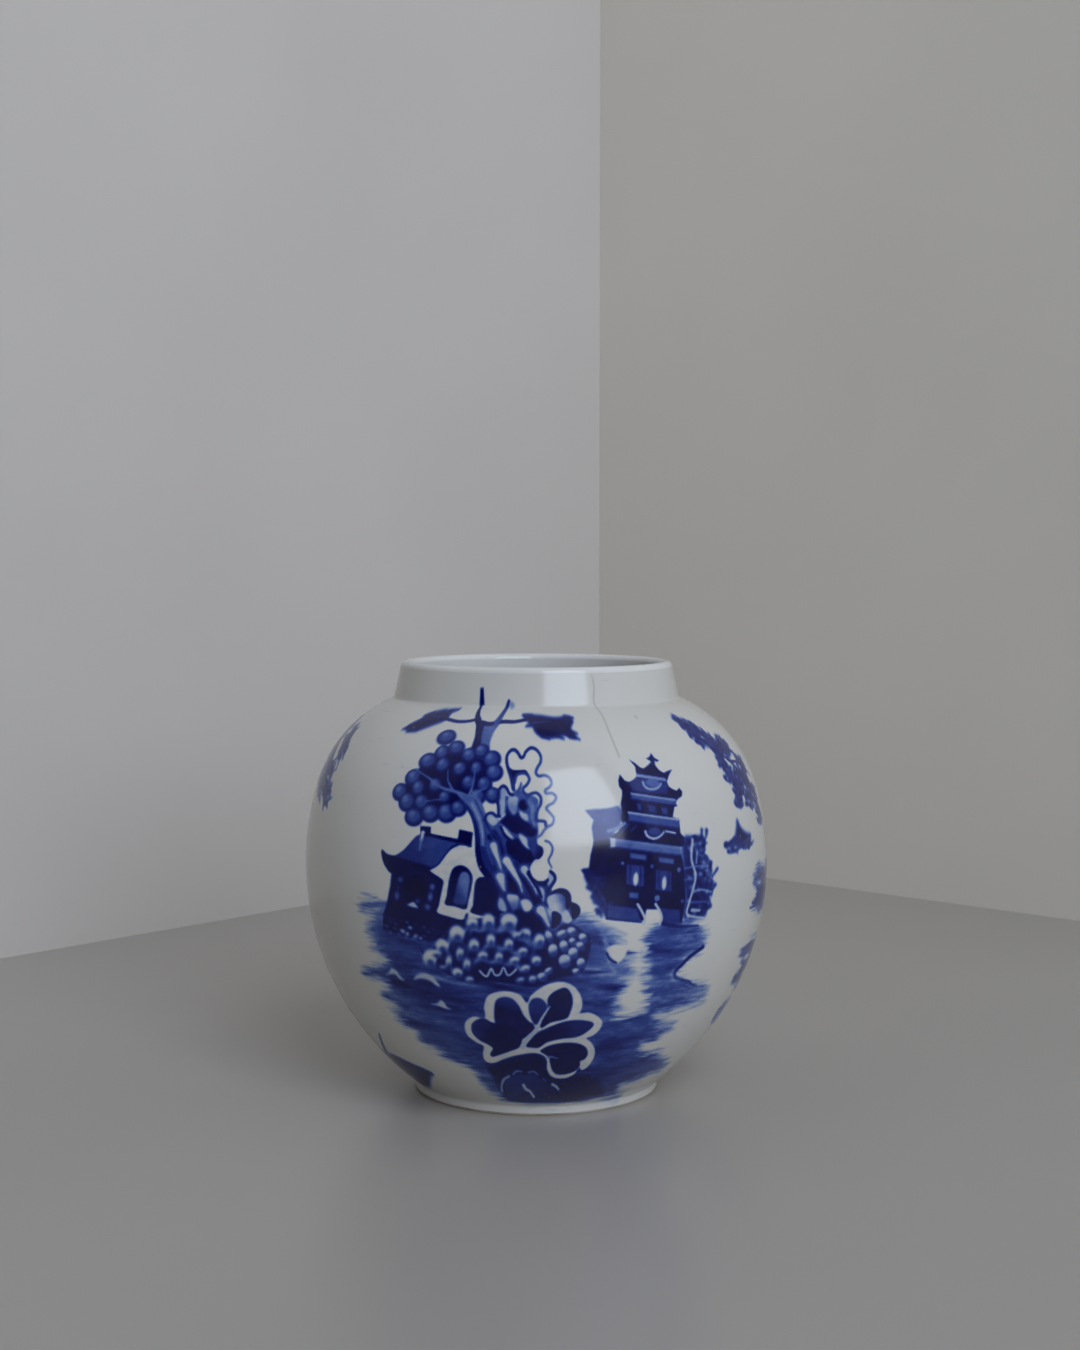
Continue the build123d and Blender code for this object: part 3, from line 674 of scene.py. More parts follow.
def paintLeaf():
    white = 0.03
    fill(white, [(-17.2, 36.8), (-16.9, 40.5), (-15.4, 43.9), (-12.2, 45.4), (-8.5, 45.7), (-5, 44.6),
                 (-2.9, 42.2), (-1.6, 44.4), (1, 46.6), (4, 48.2), (7.5, 48.8), (11, 47.8), (13.4, 45.5),
                 (15, 42), (14.8, 39.4), (14.6, 38.4), (17.5, 38.5), (20.5, 37.2), (22.7, 35),
                 (22.4, 32.6), (20.4, 30.6), (18, 29.7), (20.2, 28), (22.2, 25.4), (22.6, 22.4),
                 (21.2, 19.2), (19, 18), (17.6, 19), (16.2, 16.6), (13, 15.2), (9, 15.2), (6, 16.4),
                 (4.4, 19), (4.1, 22.2), (2.6, 24.1), (-0.5, 24.9), (-4, 24.6), (-8, 23.8), (-12, 22.6),
                 (-16, 21), (-18.8, 20.8), (-20.4, 22), (-20.2, 24.4), (-19.4, 26.8), (-21.8, 28),
                 (-24.4, 30), (-25, 32.6), (-24, 35.2), (-21, 36.9)], soft=0.4)
    lobe = 0.88
    for tone, outline in (
            ((lobe, 0.66, (-9, 39), (-8, 43.6)), [(-13.7, 35), (-13.5, 40), (-12.6, 42.8), (-10, 43.9),
                                                  (-7.4, 43.3), (-5.4, 41), (-4.2, 38.2), (-2.6, 36.2),
                                                  (-0.8, 34.8), (-0.6, 33), (-3, 31), (-5.2, 29.4),
                                                  (-5.3, 27.4), (-8, 28), (-12, 31)]),
            ((0.74, 0.92, (-20, 34), (-14, 30)), [(-22.6, 32), (-22, 34.4), (-19.6, 36.1), (-17.2, 36.5),
                                                  (-14.6, 35.2), (-9, 34), (-5.2, 31), (-5.4, 28.4),
                                                  (-6.6, 26.7), (-10, 25.4), (-14, 24), (-16.7, 23.2),
                                                  (-17.3, 24.2), (-15.9, 26.2), (-17.6, 27.6),
                                                  (-20.2, 28.8), (-22, 30.4)]),
            ((0.66, 0.8, (0, 43), (1, 36)), [(-1.3, 36.2), (-2.4, 40.6), (-1.3, 43.2), (1, 43.7),
                                             (2.9, 42.4), (3.6, 40.4), (2, 37.4), (0.3, 34.9)]),
            (0.92, [(3.9, 40.6), (3.8, 43.4), (5.6, 45.5), (9, 46.8), (11, 45), (11.8, 42), (11.2, 38.8),
                    (10, 36.8), (5, 35.6), (2, 33.8), (1.3, 35.2), (2.9, 38.2)]),
            ((0.92, 0.78, (6, 32), (14, 35)), [(-3.6, 27.4), (-2.2, 29.4), (0.8, 32.2), (6, 34.6),
                                               (11, 36), (16, 35.9), (19.3, 35), (19.6, 33.6), (17, 31.4),
                                               (14, 30.3), (9, 29.9), (4, 28.8), (1.2, 27), (-1, 26.9)]),
            (0.92, [(1.7, 25.8), (5, 27.6), (10, 28.4), (15, 28), (18.4, 26.4), (19.7, 24), (19, 22.2),
                    (17.3, 21.4), (17.6, 19.8), (16.4, 18), (13, 16.9), (9, 16.8), (6.7, 18.4), (5.6, 21),
                    (5, 23.2), (3, 24.7)]),):
        fill(tone, outline, soft=0.45)
    stroke(0.14,
           [(-4.9, 27.2), (-3.3, 29.6), (-1.2, 31.8), (0.6, 34), (1.9, 36.8), (3.8, 39.8), (4.6, 41)],
           1.9, 0.4)
    stroke(0.5, [(0.6, 32.2), (2.4, 33), (4.4, 33.3)], 0.5, 0.2, soft=0.4)
    stroke(0.3, [(4.6, 23.4), (6, 23.5), (8.4, 22.9)], 0.9, 0.4, soft=0.4)
    # the small rosette under it
    fill((0.7, 0.8, (-6, 14), (6, 9)), [(-15, 9), (-14.4, 12.6), (-11.8, 15.2), (-9, 16.2), (-7, 17.4),
                                        (-4.6, 16.8), (-2.4, 17.2), (0, 16.8), (1.8, 15.2), (4, 14),
                                        (6.6, 12.4), (8.2, 10), (8.6, 7.2), (4, 6.2), (-13, 6.4)],
         soft=0.7)
    for tone, line, wide in (
            (0.26, [(-16.6, 9.6), (-15.9, 12), (-14, 14.6), (-11.4, 16)], 1.3),
            (0.36, [(-9.6, 16.8), (-7.8, 18.1), (-5.8, 18)], 0.9),
            (0.36, [(-3, 17.7), (-1, 18), (0.8, 16.9)], 0.9),
            (0.5, [(3, 15.2), (4.4, 14.2)], 0.8),
            (0.2, [(7.4, 12.8), (9, 12), (10.7, 10.6)], 1.4),
            (0.12, [(-5.6, 12.4), (-4.7, 10.9), (-2.9, 9.8), (-1.2, 7.6)], 1.6),
            (0.85, [(-9, 8.4), (-6, 8), (-3.6, 9)], 1.0)):
        stroke(tone, line, wide, wide * 0.8, soft=0.5)


def paintPagoda():
    beam, body = 0.52, 0.97
    fill((0.62, 0.48, (18, 91), (20, 98)), [(15.1, 99), (18, 99.3), (22, 99.3), (26, 100), (27, 98.6),
                                            (26.6, 96), (25.8, 94.4), (22.6, 91.2), (22.4, 89.6),
                                            (17.4, 89.6), (16.9, 94), (17.6, 96.2)], straight=True,
         soft=0.4)
    fill(body, [(22.8, 88.6), (46.4, 84.8), (47.4, 79), (47.6, 70), (46.6, 64.2), (39.2, 65.6),
                (38.6, 69), (33.6, 69.6), (33, 66.2), (20.8, 67.4), (20.4, 73.2), (18.2, 76.4),
                (16.4, 78.8), (15.6, 82), (16.2, 86), (17.4, 90), (22.6, 90.6)], straight=True, soft=0.4)
    stroke(0.88, [(15.4, 80), (16.8, 76.6), (19.2, 73), (20.8, 69)], 1.8, 1.0, soft=1.2)
    spray(0.82, (16.4, 82), (20, 69), 16, 2.6, 0.9, seed=21, width=1.1, soft=0.9, fan=1.2)
    fill(0.85,
         [(13.4, 82), (14.6, 82.4), (16.2, 81.8), (17, 78), (16.6, 76.6), (15.2, 78.6), (14.4, 80.4)],
         soft=0.6)
    fill(body, [(28.2, 108.6), (28.9, 107.6), (29.5, 106.8), (31, 106.4), (33, 107), (34.2, 107.8),
                (45, 106), (45.4, 104.4), (47, 103.4), (48.3, 103), (49.5, 103.7), (50.4, 102.7),
                (49.8, 101.4), (48, 100.8), (46.4, 99.6), (44.6, 95.6), (47, 94.8), (46.8, 90.8),
                (48.4, 89.2), (50.2, 88.8), (48, 87.2), (44, 86.4), (23, 90.6), (22.5, 91.4), (25, 92.4),
                (27, 94.6), (26.4, 96), (27, 98.2), (26.9, 100.4), (27.7, 102.6), (28, 104.2),
                (27.2, 105.4), (27.3, 107)], straight=True)
    fill(0.94, [(33.1, 112.6), (34.9, 111.5), (36.4, 110.2), (37.6, 109.9), (39.4, 110.6), (41, 111.4),
                (42.4, 110.8), (43.4, 109.2), (45, 108.3), (46.6, 108.7), (48.8, 109.1), (46.6, 107.5),
                (45.2, 105.9), (44.8, 106.8), (40, 107.6), (34.2, 108.6), (34.6, 110.6)], straight=True)
    fill(0.82, [(42.8, 114), (43.3, 112.7), (44.8, 111.9), (43.7, 111.6), (42.9, 112), (42.6, 110.8),
                (41.4, 110.8), (41.2, 112), (39.9, 112.6), (41.4, 113)], straight=True)
    fill(0.68, [(31, 106), (34, 107.6), (45, 105.8), (45.2, 104.2), (44, 102.2), (31.4, 103.9)],
         straight=True, soft=0.5)
    for corners, tone in (
            ([(34.2, 108.7), (34, 107.8), (45, 105.9), (45, 106.9)], 0.3),
            ([(30.9, 103.5), (30.6, 101.6), (47, 98.8), (47, 100.8)], beam),
            ([(29, 98.2), (28.9, 95.5), (46.5, 92.3), (47.1, 95)], beam),
            ([(22.4, 91.1), (48.3, 86.7), (48.2, 84.2), (46.2, 84.3), (24, 88.2), (22.4, 88.1)], 0.43)):
        fill(tone, corners, straight=True, soft=0.3)
    for line, tone, wide in (
            ([(30.9, 103.2), (46.8, 100.5)], 0.24, 0.6),
            ([(30.7, 101.6), (47, 98.8)], 0.8, 0.4),
            ([(29.1, 97.9), (47, 94.8)], 0.2, 0.7),
            ([(29, 95.5), (46.4, 92.3)], 0.75, 0.5),
            ([(24, 90.4), (46.4, 86.5)], 0.34, 0.6),
            ([(24.4, 88.1), (46.4, 84.3)], 0.7, 0.5),
            ([(22, 92.9), (24.6, 93.4), (27.6, 94.9)], 0.3, 1.1),
            ([(26.4, 92.4), (28.8, 94.6)], 0.55, 0.5),
            ([(29.4, 92.6), (31.4, 94)], 0.65, 0.5),
            ([(41.4, 91.8), (44.9, 91)], 0.12, 0.7)):
        stroke(tone, line, wide, wide)
    fill(0.12, [(22.4, 91.1), (24.1, 90.8), (24, 88.2), (22.4, 88.1)], straight=True)
    fill(0.22, [(46.2, 86.9), (48.3, 86.5), (48.2, 84.2), (46.4, 84.4)], straight=True)
    dot(0.42, 39.6, 105.7, 3.1, 1.2, turn=-6, soft=0.4)
    stroke(0.2, [(35.9, 106.2), (36.2, 105), (37.4, 104.3), (39, 104), (41, 104.3), (42.8, 105.4)], 0.9, 0.6)
    dot(0.6, 37.4, 92, 2.3, 1.2, soft=0.4)
    stroke(0.14, [(34.2, 92.2), (34.7, 90.9), (36.6, 90), (38.4, 90.2), (40, 91), (40.7, 91.7)], 1.0, 0.7)
    dot(0.08, 49, 88.5, 1.0, 0.9)
    for corners in (
            [(32.4, 100.4), (34, 100.1), (33.7, 98.2), (32.4, 98.4)],
            [(36, 99.8), (38.9, 99.3), (38.9, 97.2), (36.2, 97.7)],
            [(40.8, 98.9), (43.2, 98.4), (43, 96.4), (41, 96.8)]):
        fill(0.6, corners, straight=True, soft=0.4)
    # doors, lanterns and the plinth
    for x, y, tone in ((0, 0, 0.6), (9.6, -2.3, 0.64)):
        fill(0.46, [(28.4 + x, 86.4 + y * 0.8), (34 + x, 85.4 + y * 0.8), (33.8 + x, 83.8 + y * 0.8),
                    (28.5 + x, 84.8 + y * 0.8)], straight=True, soft=0.4)
        fill(tone, [(27.3 + x, 83.2 + y), (32.9 + x, 82.3 + y), (32.7 + x, 76.3 + y), (27 + x, 77.3 + y)],
             straight=True, soft=0.4)
        stroke(0.8, [(28.4 + x, 82.6 + y), (28.2 + x, 78 + y)], 0.5, 0.5)
        stroke(0.8, [(31.8 + x, 82 + y), (31.6 + x, 77.4 + y)], 0.5, 0.5)
        dot(0.05, 30.1 + x, 78.6 + y * 0.8, 0.8, 2.0, turn=-6)
    fill(0.45, [(28, 75), (31, 74.6), (30.9, 72.7), (27.8, 73.3)], straight=True, soft=0.4)
    for x, y, r, tone in ((37.2, 72.5, 1.0, 0.4), (26, 83.5, 0.6, 0.42), (35.6, 82, 0.7, 0.5),
                          (45.2, 80.2, 0.8, 0.42), (46.4, 70.8, 0.6, 0.5)):
        dot(tone, x, y, r)
    fill(0.62, [(21.5, 71.7), (30.6, 70), (32, 66.1), (20.9, 67.6)], straight=True, soft=0.4)
    fill(0.66, [(38.7, 69.5), (45.6, 68.2), (46, 64.2), (39.2, 65)], straight=True, soft=0.4)
    stroke(0.75, [(21, 67.6), (32, 65.8)], 0.7, 0.6)
    stroke(0.82, [(39, 64.8), (46, 63.1), (50, 62.8), (53.6, 62.5)], 1.3, 0.5, soft=0.5)
    stroke(0.1, [(30.7, 71.2), (32, 69.2), (33.2, 66.8), (33, 65.2)], 1.0, 0.9)
    stroke(0.1, [(36.7, 70.8), (38.2, 68.6), (39, 66.4), (38.5, 64.6)], 1.0, 0.9)
    # the hedge beside it
    fill(0.8, [(48, 89), (52, 89.4), (55.4, 89.2), (55.6, 86.6), (53.4, 84.6), (56.4, 82.6), (56.6, 79.6),
               (58.2, 77), (59.2, 74), (57.6, 71.4), (56.6, 68), (56, 65.2), (50, 64.8), (47.2, 66),
               (47.6, 72), (46.8, 80)], soft=1.3)
    for start, end in (((55, 90), (55.6, 84)), ((56.6, 83), (58.8, 75)), ((58.6, 74), (56.4, 65.6))):
        spray(0.78, start, end, 9, 2.2, 0.9, seed=23 + int(start[0]), width=1.1, soft=0.8, fan=1.3)
    draw = np.random.default_rng(11)
    for k in range(46):
        y = draw.uniform(65.5, 89.5)
        x = draw.uniform(48.5, 55.5 + 3.6 * math.sin((y - 64) / 25 * math.pi))
        dot(draw.choice([0.35, 0.5, 0.9, 0.95]), x, y, draw.uniform(0.5, 1.3), draw.uniform(0.4, 0.8),
            turn=draw.uniform(-30, 20), soft=0.6)
    for line, tone, wide in (
            ([(51.4, 88.6), (50.3, 83), (51.7, 78), (50.6, 74), (49.1, 70), (48.4, 66.8), (51, 65.6),
              (55.6, 64.6)], 0.12, 1.0),
            ([(47.6, 80.4), (52, 80.6), (57.4, 80.1)], 0.34, 0.6),
            ([(47.4, 77), (51, 77)], 0.4, 0.5),
            ([(50.4, 73.2), (54, 73.4), (58.6, 72.2)], 0.25, 0.8),
            ([(50, 70), (56, 69.6)], 0.4, 0.5),
            ([(52.8, 84.8), (52.2, 81.6)], 0.25, 0.9),
            ([(50.4, 67.6), (53.6, 67.2)], 0.2, 1.3)):
        stroke(tone, line, wide, wide * 0.8, soft=0.4)


def paintSides():
    # foliage, islands and a boat that fill the turn of the jar between one print and the next
    clumps = ((70, 121, 5), (75, 119, 6), (71, 117.4, 4), (79, 116, 7), (84, 113.4, 7), (78, 110.6, 5),
              (79, 106, 7), (87, 105, 8), (83, 101.6, 6), (92, 104, 7), (80, 98.6, 4), (90, 98, 8),
              (97, 99, 8), (95, 108, 6), (89, 114, 6), (98, 92, 6))
    for x, y, long in clumps:
        dot(0.7, x, y, long * 0.3, 1.2, turn=-20, soft=2.0)
        for k in range(3):
            spray(0.76, (x - long / 2, y + 1.8 - 1.6 * k), (x + long / 2, y + 0.4 - 1.6 * k), 5, 3.2, 0.5,
                  seed=int(7 * x + k), width=1.2, soft=0.8, fan=0.7)
    stroke(0.85, [(73, 117), (78, 112.6), (84, 109), (96, 98), (103, 88), (106, 76)], 0.4, 1.4, soft=0.6)
    stroke(0.8, [(84, 109), (92, 108), (100, 103)], 0.8, 0.4)
    fill((0.9, 0.5, (76, 89), (70, 84)), [(69, 85), (72, 87), (74, 89.6), (75.4, 92), (77, 89.6),
                                          (80, 87.6), (84, 86.4), (80, 84.6), (74, 84.4)], soft=1.4)
    for k in range(3):
        spray(0.72, (68, 86 - k), (84, 85.4 - k), 9, 3.6, 0.5, seed=60 + k, width=1.3, soft=0.8)
    pour([(84, 73), (90, 76), (98, 75), (108, 76), (113, 72), (110, 64), (102, 61), (92, 61), (85, 64),
          (88, 68)], feather=3)
    deepen(0.7, 97, 66, 12, 4)
    for x, y, rx, ry in ((91, 70.6, 2.4, 0.7), (105, 70.5, 2, 0.7)):
        dot(0.14, x, y, rx, ry, turn=-8, soft=0.8)
    for x, y in ((88, 65), (94, 73), (101, 72.4), (107, 67)):
        spray(0.84, (x - 4, y - 1), (x + 4, y + 1), 6, 2.6, 0.5, seed=int(x), width=0.9)
    pour([(82, 50), (94, 52), (110, 51), (119, 47), (112, 42), (118, 37), (104, 35.6), (92, 37), (84, 41),
          (88, 45)], feather=3)
    pour([(84, 31), (96, 32), (108, 29), (112, 25), (98, 24), (86, 26)], feather=2)
    deepen(0.66, 98, 44, 13, 3.4)
    deepen(0.42, 96, 28, 12, 3)
    for x, y, rx, ry in ((92, 46.6, 4, 1.1), (103, 47.4, 3.4, 1.0), (98, 40.2, 3.6, 0.9)):
        dot(0.12, x, y, rx, ry, turn=-5, soft=0.7)
    # left: a hanging branch
    stroke(0.8, [(-117, 118), (-108, 116), (-98, 110), (-90, 100), (-87, 94)], 1.8, 0.5, soft=0.5)
    for x, y in ((-95, 117), (-90, 113), (-98, 108), (-91, 106), (-87, 100), (-96, 101), (-105, 112),
                 (-107, 119), (-103, 104)):
        dot(0.74, x, y, 3, 1.3, turn=-22, soft=1.5)
        for k in range(3):
            spray(0.76, (x - 4, y + 2 - 1.9 * k), (x + 4, y - 1 - 1.9 * k), 5, 3.2, 0.5,
                  seed=int(200 - 3 * x + k), width=1.2, soft=0.8, fan=0.7)
    # a moored boat below it, with a short mast
    fill((0.6, 0.88, (-96, 10), (-70, 10)), [(-104, 15), (-92, 15.4), (-80, 16.4), (-70, 16.6),
                                             (-62, 15.6), (-55, 14.6), (-50.6, 13.4), (-54, 11.8),
                                             (-60, 8.8), (-66, 6.4), (-74, 4.8), (-86, 4.4), (-98, 5),
                                             (-107, 9)], soft=1.3)
    stroke(0.45, [(-100, 11.8), (-86, 12.4), (-72, 13), (-60, 12.8)], 0.7, 0.5, soft=0.8)
    stroke(0.42, [(-98, 8.4), (-86, 8.2), (-74, 8.6), (-66, 9.6)], 0.6, 0.4, soft=0.8)
    stroke(0.84, [(-81, 16), (-77.6, 18.6), (-74.6, 21.4), (-71.4, 24.6)], 2.0, 0.5, soft=0.7)


def markCraze():
    # one hairline in the glaze of the shoulder
    line = curve([(29.6, 137.4), (30.2, 133), (29.4, 129), (30.2, 125.8), (29.2, 120), (29.6, 113.6)],
                 closed=False)
    where, place = window(line.min(0) - 1, line.max(0) + 1)
    gap = np.full(place.shape[:2], 1e9, np.float32)
    for a, b in zip(line[:-1], line[1:]):
        gap = np.minimum(gap, toSegment(place, a, b)[0])
    sheet["craze"][where] = smoothStep(1 - gap / 0.62)
    where, place = window((45, 123), (47.6, 125))
    sheet["craze"][where] = smoothStep(1.3 - np.hypot(place[..., 0] - 46.3, place[..., 1] - 124) / 0.6)


for paint in (paintGround, paintSides, paintPagoda, paintHouse, paintCrown, paintTrunk, paintRock,
              paintBush, paintLeaf, markCraze):
    paint()
print("print laid out")


# the printed glaze: blocks of the layout, split only where the print needs it
printMesh = {
    "tolerance": 0.05,          # how far the drawn tone may stray from a straight blend inside a block
    "washTolerance": 0.14,      # the same for the soft masks
    "bend": 0.03,               # and for the profile, in mm
    "hiddenRows": 180,
}
# shares of the baked map: the printed side, then the hidden side and the two upright edges above it
mapShare = {"printed": 0.965, "hiddenFrom": 0.97, "hidden": 0.018, "edgeLow": 0.991, "edgeHigh": 0.998}


def blendError(values, size):
    # how far the values in each block stray from a straight blend between its corners
    corner = values[::size, ::size]
    up, across = corner.shape[0] - 1, corner.shape[1] - 1
    worst = np.zeros((up, across), np.float32)
    for i in range(size + 1):
        for j in range(size + 1):
            s, t = i / size, j / size
            blended = ((1 - s) * ((1 - t) * corner[:-1, :-1] + t * corner[:-1, 1:])
                       + s * ((1 - t) * corner[1:, :-1] + t * corner[1:, 1:]))
            actual = values[i:i + (up - 1) * size + 1:size, j:j + (across - 1) * size + 1:size]
            worst = np.maximum(worst, np.abs(actual - blended))
    return worst


def withNeighbours(marked):
    grown = marked | np.roll(marked, 1, 1) | np.roll(marked, -1, 1)
    grown[1:] |= marked[:-1]
    grown[:-1] |= marked[1:]
    return grown


def anyOfFour(marked):
    return marked[::2, ::2] | marked[1::2, ::2] | marked[::2, 1::2] | marked[1::2, 1::2]


def blockPlan(tone, softFields):
    def needs(size):
        wanted = blendError(tone, size) > printMesh["tolerance"]
        for values in softFields:
            wanted |= blendError(values, size) > printMesh["washTolerance"]
        for line in (rowRadius, rowHeight):      # tight turns of the profile, at collar and foot
            strip = np.repeat(line[:, None], size + 1, 1).astype(np.float32)
            wanted |= blendError(strip, size) > printMesh["bend"]
        return wanted
    splitTwo = needs(2)
    # the first and last rows stay in even steps, to meet the turned pieces
    splitTwo[:3] = splitTwo[-3:] = False
    splitFour = needs(4) | anyOfFour(withNeighbours(splitTwo))
    splitFour[:1] = splitFour[-1:] = False
    splitEight = needs(8) | anyOfFour(withNeighbours(splitFour))
    splitEight[:1] = splitEight[-1:] = True

    def spread(marked):
        return np.repeat(np.repeat(marked, 2, 0), 2, 1)
    isFour = spread(splitEight) & ~splitFour
    isTwo = spread(spread(splitEight) & splitFour) & ~splitTwo
    isOne = spread(spread(spread(splitEight) & splitFour) & splitTwo)
    return {8: ~splitEight, 4: isFour, 2: isTwo, 1: isOne}


def cornerList(plan, tone):
    # triangles of the plan's nodes, with a fan where a smaller neighbour adds a node to an edge
    wide = cell["across"] + 1
    used = np.zeros((cell["up"] + 1, wide), bool)
    blocks = {}
    for size, marked in plan.items():
        r, c = (k * size for k in np.nonzero(marked))
        blocks[size] = (r, c)
        for dr, dc in ((0, 0), (0, size), (size, size), (size, 0)):
            used[r + dr, c + dc] = True
    used[:, 0] |= used[:, -1]
    used[:, -1] = used[:, 0]
    triangles = []

    def number(r, c):
        return r * wide + c
    for size, (r, c) in blocks.items():
        if not len(r):
            continue
        h = size // 2
        corners = [(r, c), (r, c + size), (r + size, c + size), (r + size, c)]
        middles = [(r, c + h), (r + h, c + size), (r + size, c + h), (r + h, c)]
        added = [used[m] if h else np.zeros(len(r), bool) for m in middles]
        fan = np.any(added, 0)
        a, b, d, e = (number(*p)[~fan] for p in corners)
        values = [tone[p][~fan] for p in corners]
        slant = np.abs(values[0] - values[2]) <= np.abs(values[1] - values[3])
        triangles.append(np.stack([a, b, np.where(slant, d, e)], 1))
        triangles.append(np.stack([np.where(slant, a, b), d, e], 1))
        if fan.any():
            centre = number(r + h, c + h)
            for k in range(4):
                p, q, m = number(*corners[k]), number(*corners[(k + 1) % 4]), number(*middles[k])
                whole, halved = fan & ~added[k], fan & added[k]
                triangles.append(np.stack([centre, p, q], 1)[whole])
                triangles.append(np.stack([centre, p, m], 1)[halved])
                triangles.append(np.stack([centre, m, q], 1)[halved])
    return np.concatenate(triangles)


def gridTriangles(values):
    # two triangles for each square of a grid of node numbers, or of places on the map
    squares = (values[:-1, :-1], values[:-1, 1:], values[1:, 1:], values[1:, :-1])
    a, b, d, e = (corner.reshape(-1, *values.shape[2:]) for corner in squares)
    return np.concatenate([np.stack([a, d, b], 1), np.stack([a, e, d], 1)])


def finishObject(name, mesh, material, cadNode):
    made = bpy.data.objects.new(name, mesh)
    bpy.context.scene.collection.objects.link(made)
    if material.name not in mesh.materials:
        mesh.materials.append(material)
    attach(made, rootBody)
    if cadNode:
        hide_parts(cadNode)
    return made


def printedShell(name, facing, material, marks):
    # one half of the outside glaze, as a closed skin; facing turns its middle from the front, in degrees
    wide = cell["across"] + 1
    values = {key: np.concatenate([sheet[key], sheet[key][:, :1]], 1) for key in sheet}
    laid = smoothStep((values["wash"] - 0.3) / 0.4) * values["depth"]
    tone = values["cover"] * values["ink"] + (1 - values["cover"]) * laid
    plan = blockPlan(tone, (values["wash"], values["craze"] * 0.8))
    outer = cornerList(plan, tone)

    step = cell["largest"] // 2                # even steps round the rings that other pieces meet
    rings = np.linspace(0, cell["up"], printMesh["hiddenRows"] + 1)[1:-1].round().astype(int)
    columns = np.arange(0, wide, step)
    slope = np.gradient(profile, axis=0)
    slope /= np.linalg.norm(slope, axis=1)[:, None]
    rowSlope = np.stack([np.interp(upSteps, profileLength, slope[:, k]) for k in (0, 1)], 1)
    rowSlope /= np.linalg.norm(rowSlope, axis=1)[:, None]

    nodes = np.unique(outer)
    index = np.full((cell["up"] + 1) * wide, -1)
    index[nodes] = np.arange(len(nodes))
    r, c = nodes // wide, nodes % wide
    angle = ((c / cell["across"]) - 0.5) * math.pi + math.radians(facing)
    radial, upward = rowRadius[r], rowHeight[r]
    outN, outZ = rowSlope[r, 1], -rowSlope[r, 0]

    hr, hc = (g.ravel() for g in np.meshgrid(rings, columns, indexing="ij"))
    hAngle = ((hc / cell["across"]) - 0.5) * math.pi + math.radians(facing)
    hRadial = rowRadius[hr] - rowSlope[hr, 1] * jar["glaze"]
    hUp = rowHeight[hr] + rowSlope[hr, 0] * jar["glaze"]

    radii = np.concatenate([radial, hRadial])
    ups = np.concatenate([upward, hUp])
    angles = np.concatenate([angle, hAngle])
    points = np.stack([radii * np.sin(angles), -radii * np.cos(angles), ups], 1) * mm
    nr = np.concatenate([outN, -rowSlope[hr, 1]])
    nz = np.concatenate([outZ, rowSlope[hr, 0]])
    normals = np.stack([nr * np.sin(angles), -nr * np.cos(angles), nz], 1)

    # the hidden side is a plain grid that shares the top and bottom rings
    hidden = np.full((len(rings) + 2, len(columns)), -1)
    hidden[1:-1] = len(nodes) + np.arange(len(hr)).reshape(len(rings), len(columns))
    hidden[0] = index[columns]
    hidden[-1] = index[cell["up"] * wide + columns]
    inner = gridTriangles(hidden)

    # and its two upright edges are closed to the printed side
    sides = []
    for column, flip in ((0, False), (wide - 1, True)):
        upOuter = [row for row in range(cell["up"] + 1) if index[row * wide + column] >= 0]
        upInner = [0] + list(rings) + [cell["up"]]
        k = j = 0
        hiddenColumn = 0 if column == 0 else len(columns) - 1
        while k < len(upOuter) - 1 or j < len(upInner) - 1:
            here, there = index[upOuter[k] * wide + column], hidden[j, hiddenColumn]
            if j == len(upInner) - 1 or (k < len(upOuter) - 1 and upOuter[k + 1] <= upInner[j + 1]):
                k += 1
                face = (here, index[upOuter[k] * wide + column], there)
            else:
                j += 1
                face = (here, hidden[j, hiddenColumn], there)
            if len(set(face)) == 3:
                sides.append(face[::-1] if flip else face)
    faces = np.concatenate([index[outer], inner, np.array(sides)])

    mesh = bpy.data.meshes.new(name)
    mesh.vertices.add(len(points))
    mesh.vertices.foreach_set("co", points.astype(np.float32).ravel())
    mesh.loops.add(3 * len(faces))
    mesh.loops.foreach_set("vertex_index", faces.astype(np.int32).ravel())
    mesh.polygons.add(len(faces))
    mesh.polygons.foreach_set("loop_start", np.arange(0, 3 * len(faces), 3, dtype=np.int32))
    mesh.polygons.foreach_set("use_smooth", np.ones(len(faces), bool))
    mesh.update(calc_edges=True)
    for key in marks:
        made = np.zeros(len(points), np.float32)
        made[:len(nodes)] = values[key][r, c]
        mesh.attributes.new(key, "FLOAT", "POINT").data.foreach_set("value", made)
    # its own map: the printed side over nearly all of it, the hidden sides in a strip along the top
    flat = np.zeros((len(points), 2), np.float32)
    flat[:len(nodes)] = np.stack([c / cell["across"], mapShare["printed"] * r / cell["up"]], 1)
    faceMap = np.zeros((len(faces), 3, 2), np.float32)
    faceMap[:len(outer)] = flat[index[outer]]
    full = np.zeros((len(rings) + 2, len(columns), 2), np.float32)
    full[..., 0] = (columns / cell["across"])[None, :]
    upShare = (np.concatenate([[0], rings, [cell["up"]]]) / cell["up"])[:, None]
    full[..., 1] = mapShare["hiddenFrom"] + mapShare["hidden"] * upShare
    faceMap[len(outer):len(outer) + len(inner)] = gridTriangles(full)
    place = np.arange(len(sides)) / len(sides)
    low, high = (np.full(len(sides), mapShare[key]) for key in ("edgeLow", "edgeHigh"))
    faceMap[-len(sides):] = np.stack([np.stack([place, low], 1),
                                      np.stack([place + 0.9 / len(sides), low], 1),
                                      np.stack([place, high], 1)], 1)
    mesh.uv_layers.new(name="OFBake").data.foreach_set("uv", faceMap.ravel())
    mesh.normals_split_custom_set_from_vertices(normals.astype(np.float32))
    print(name, len(faces), "triangles")
    return finishObject(name, mesh, material, "glaze_coat")


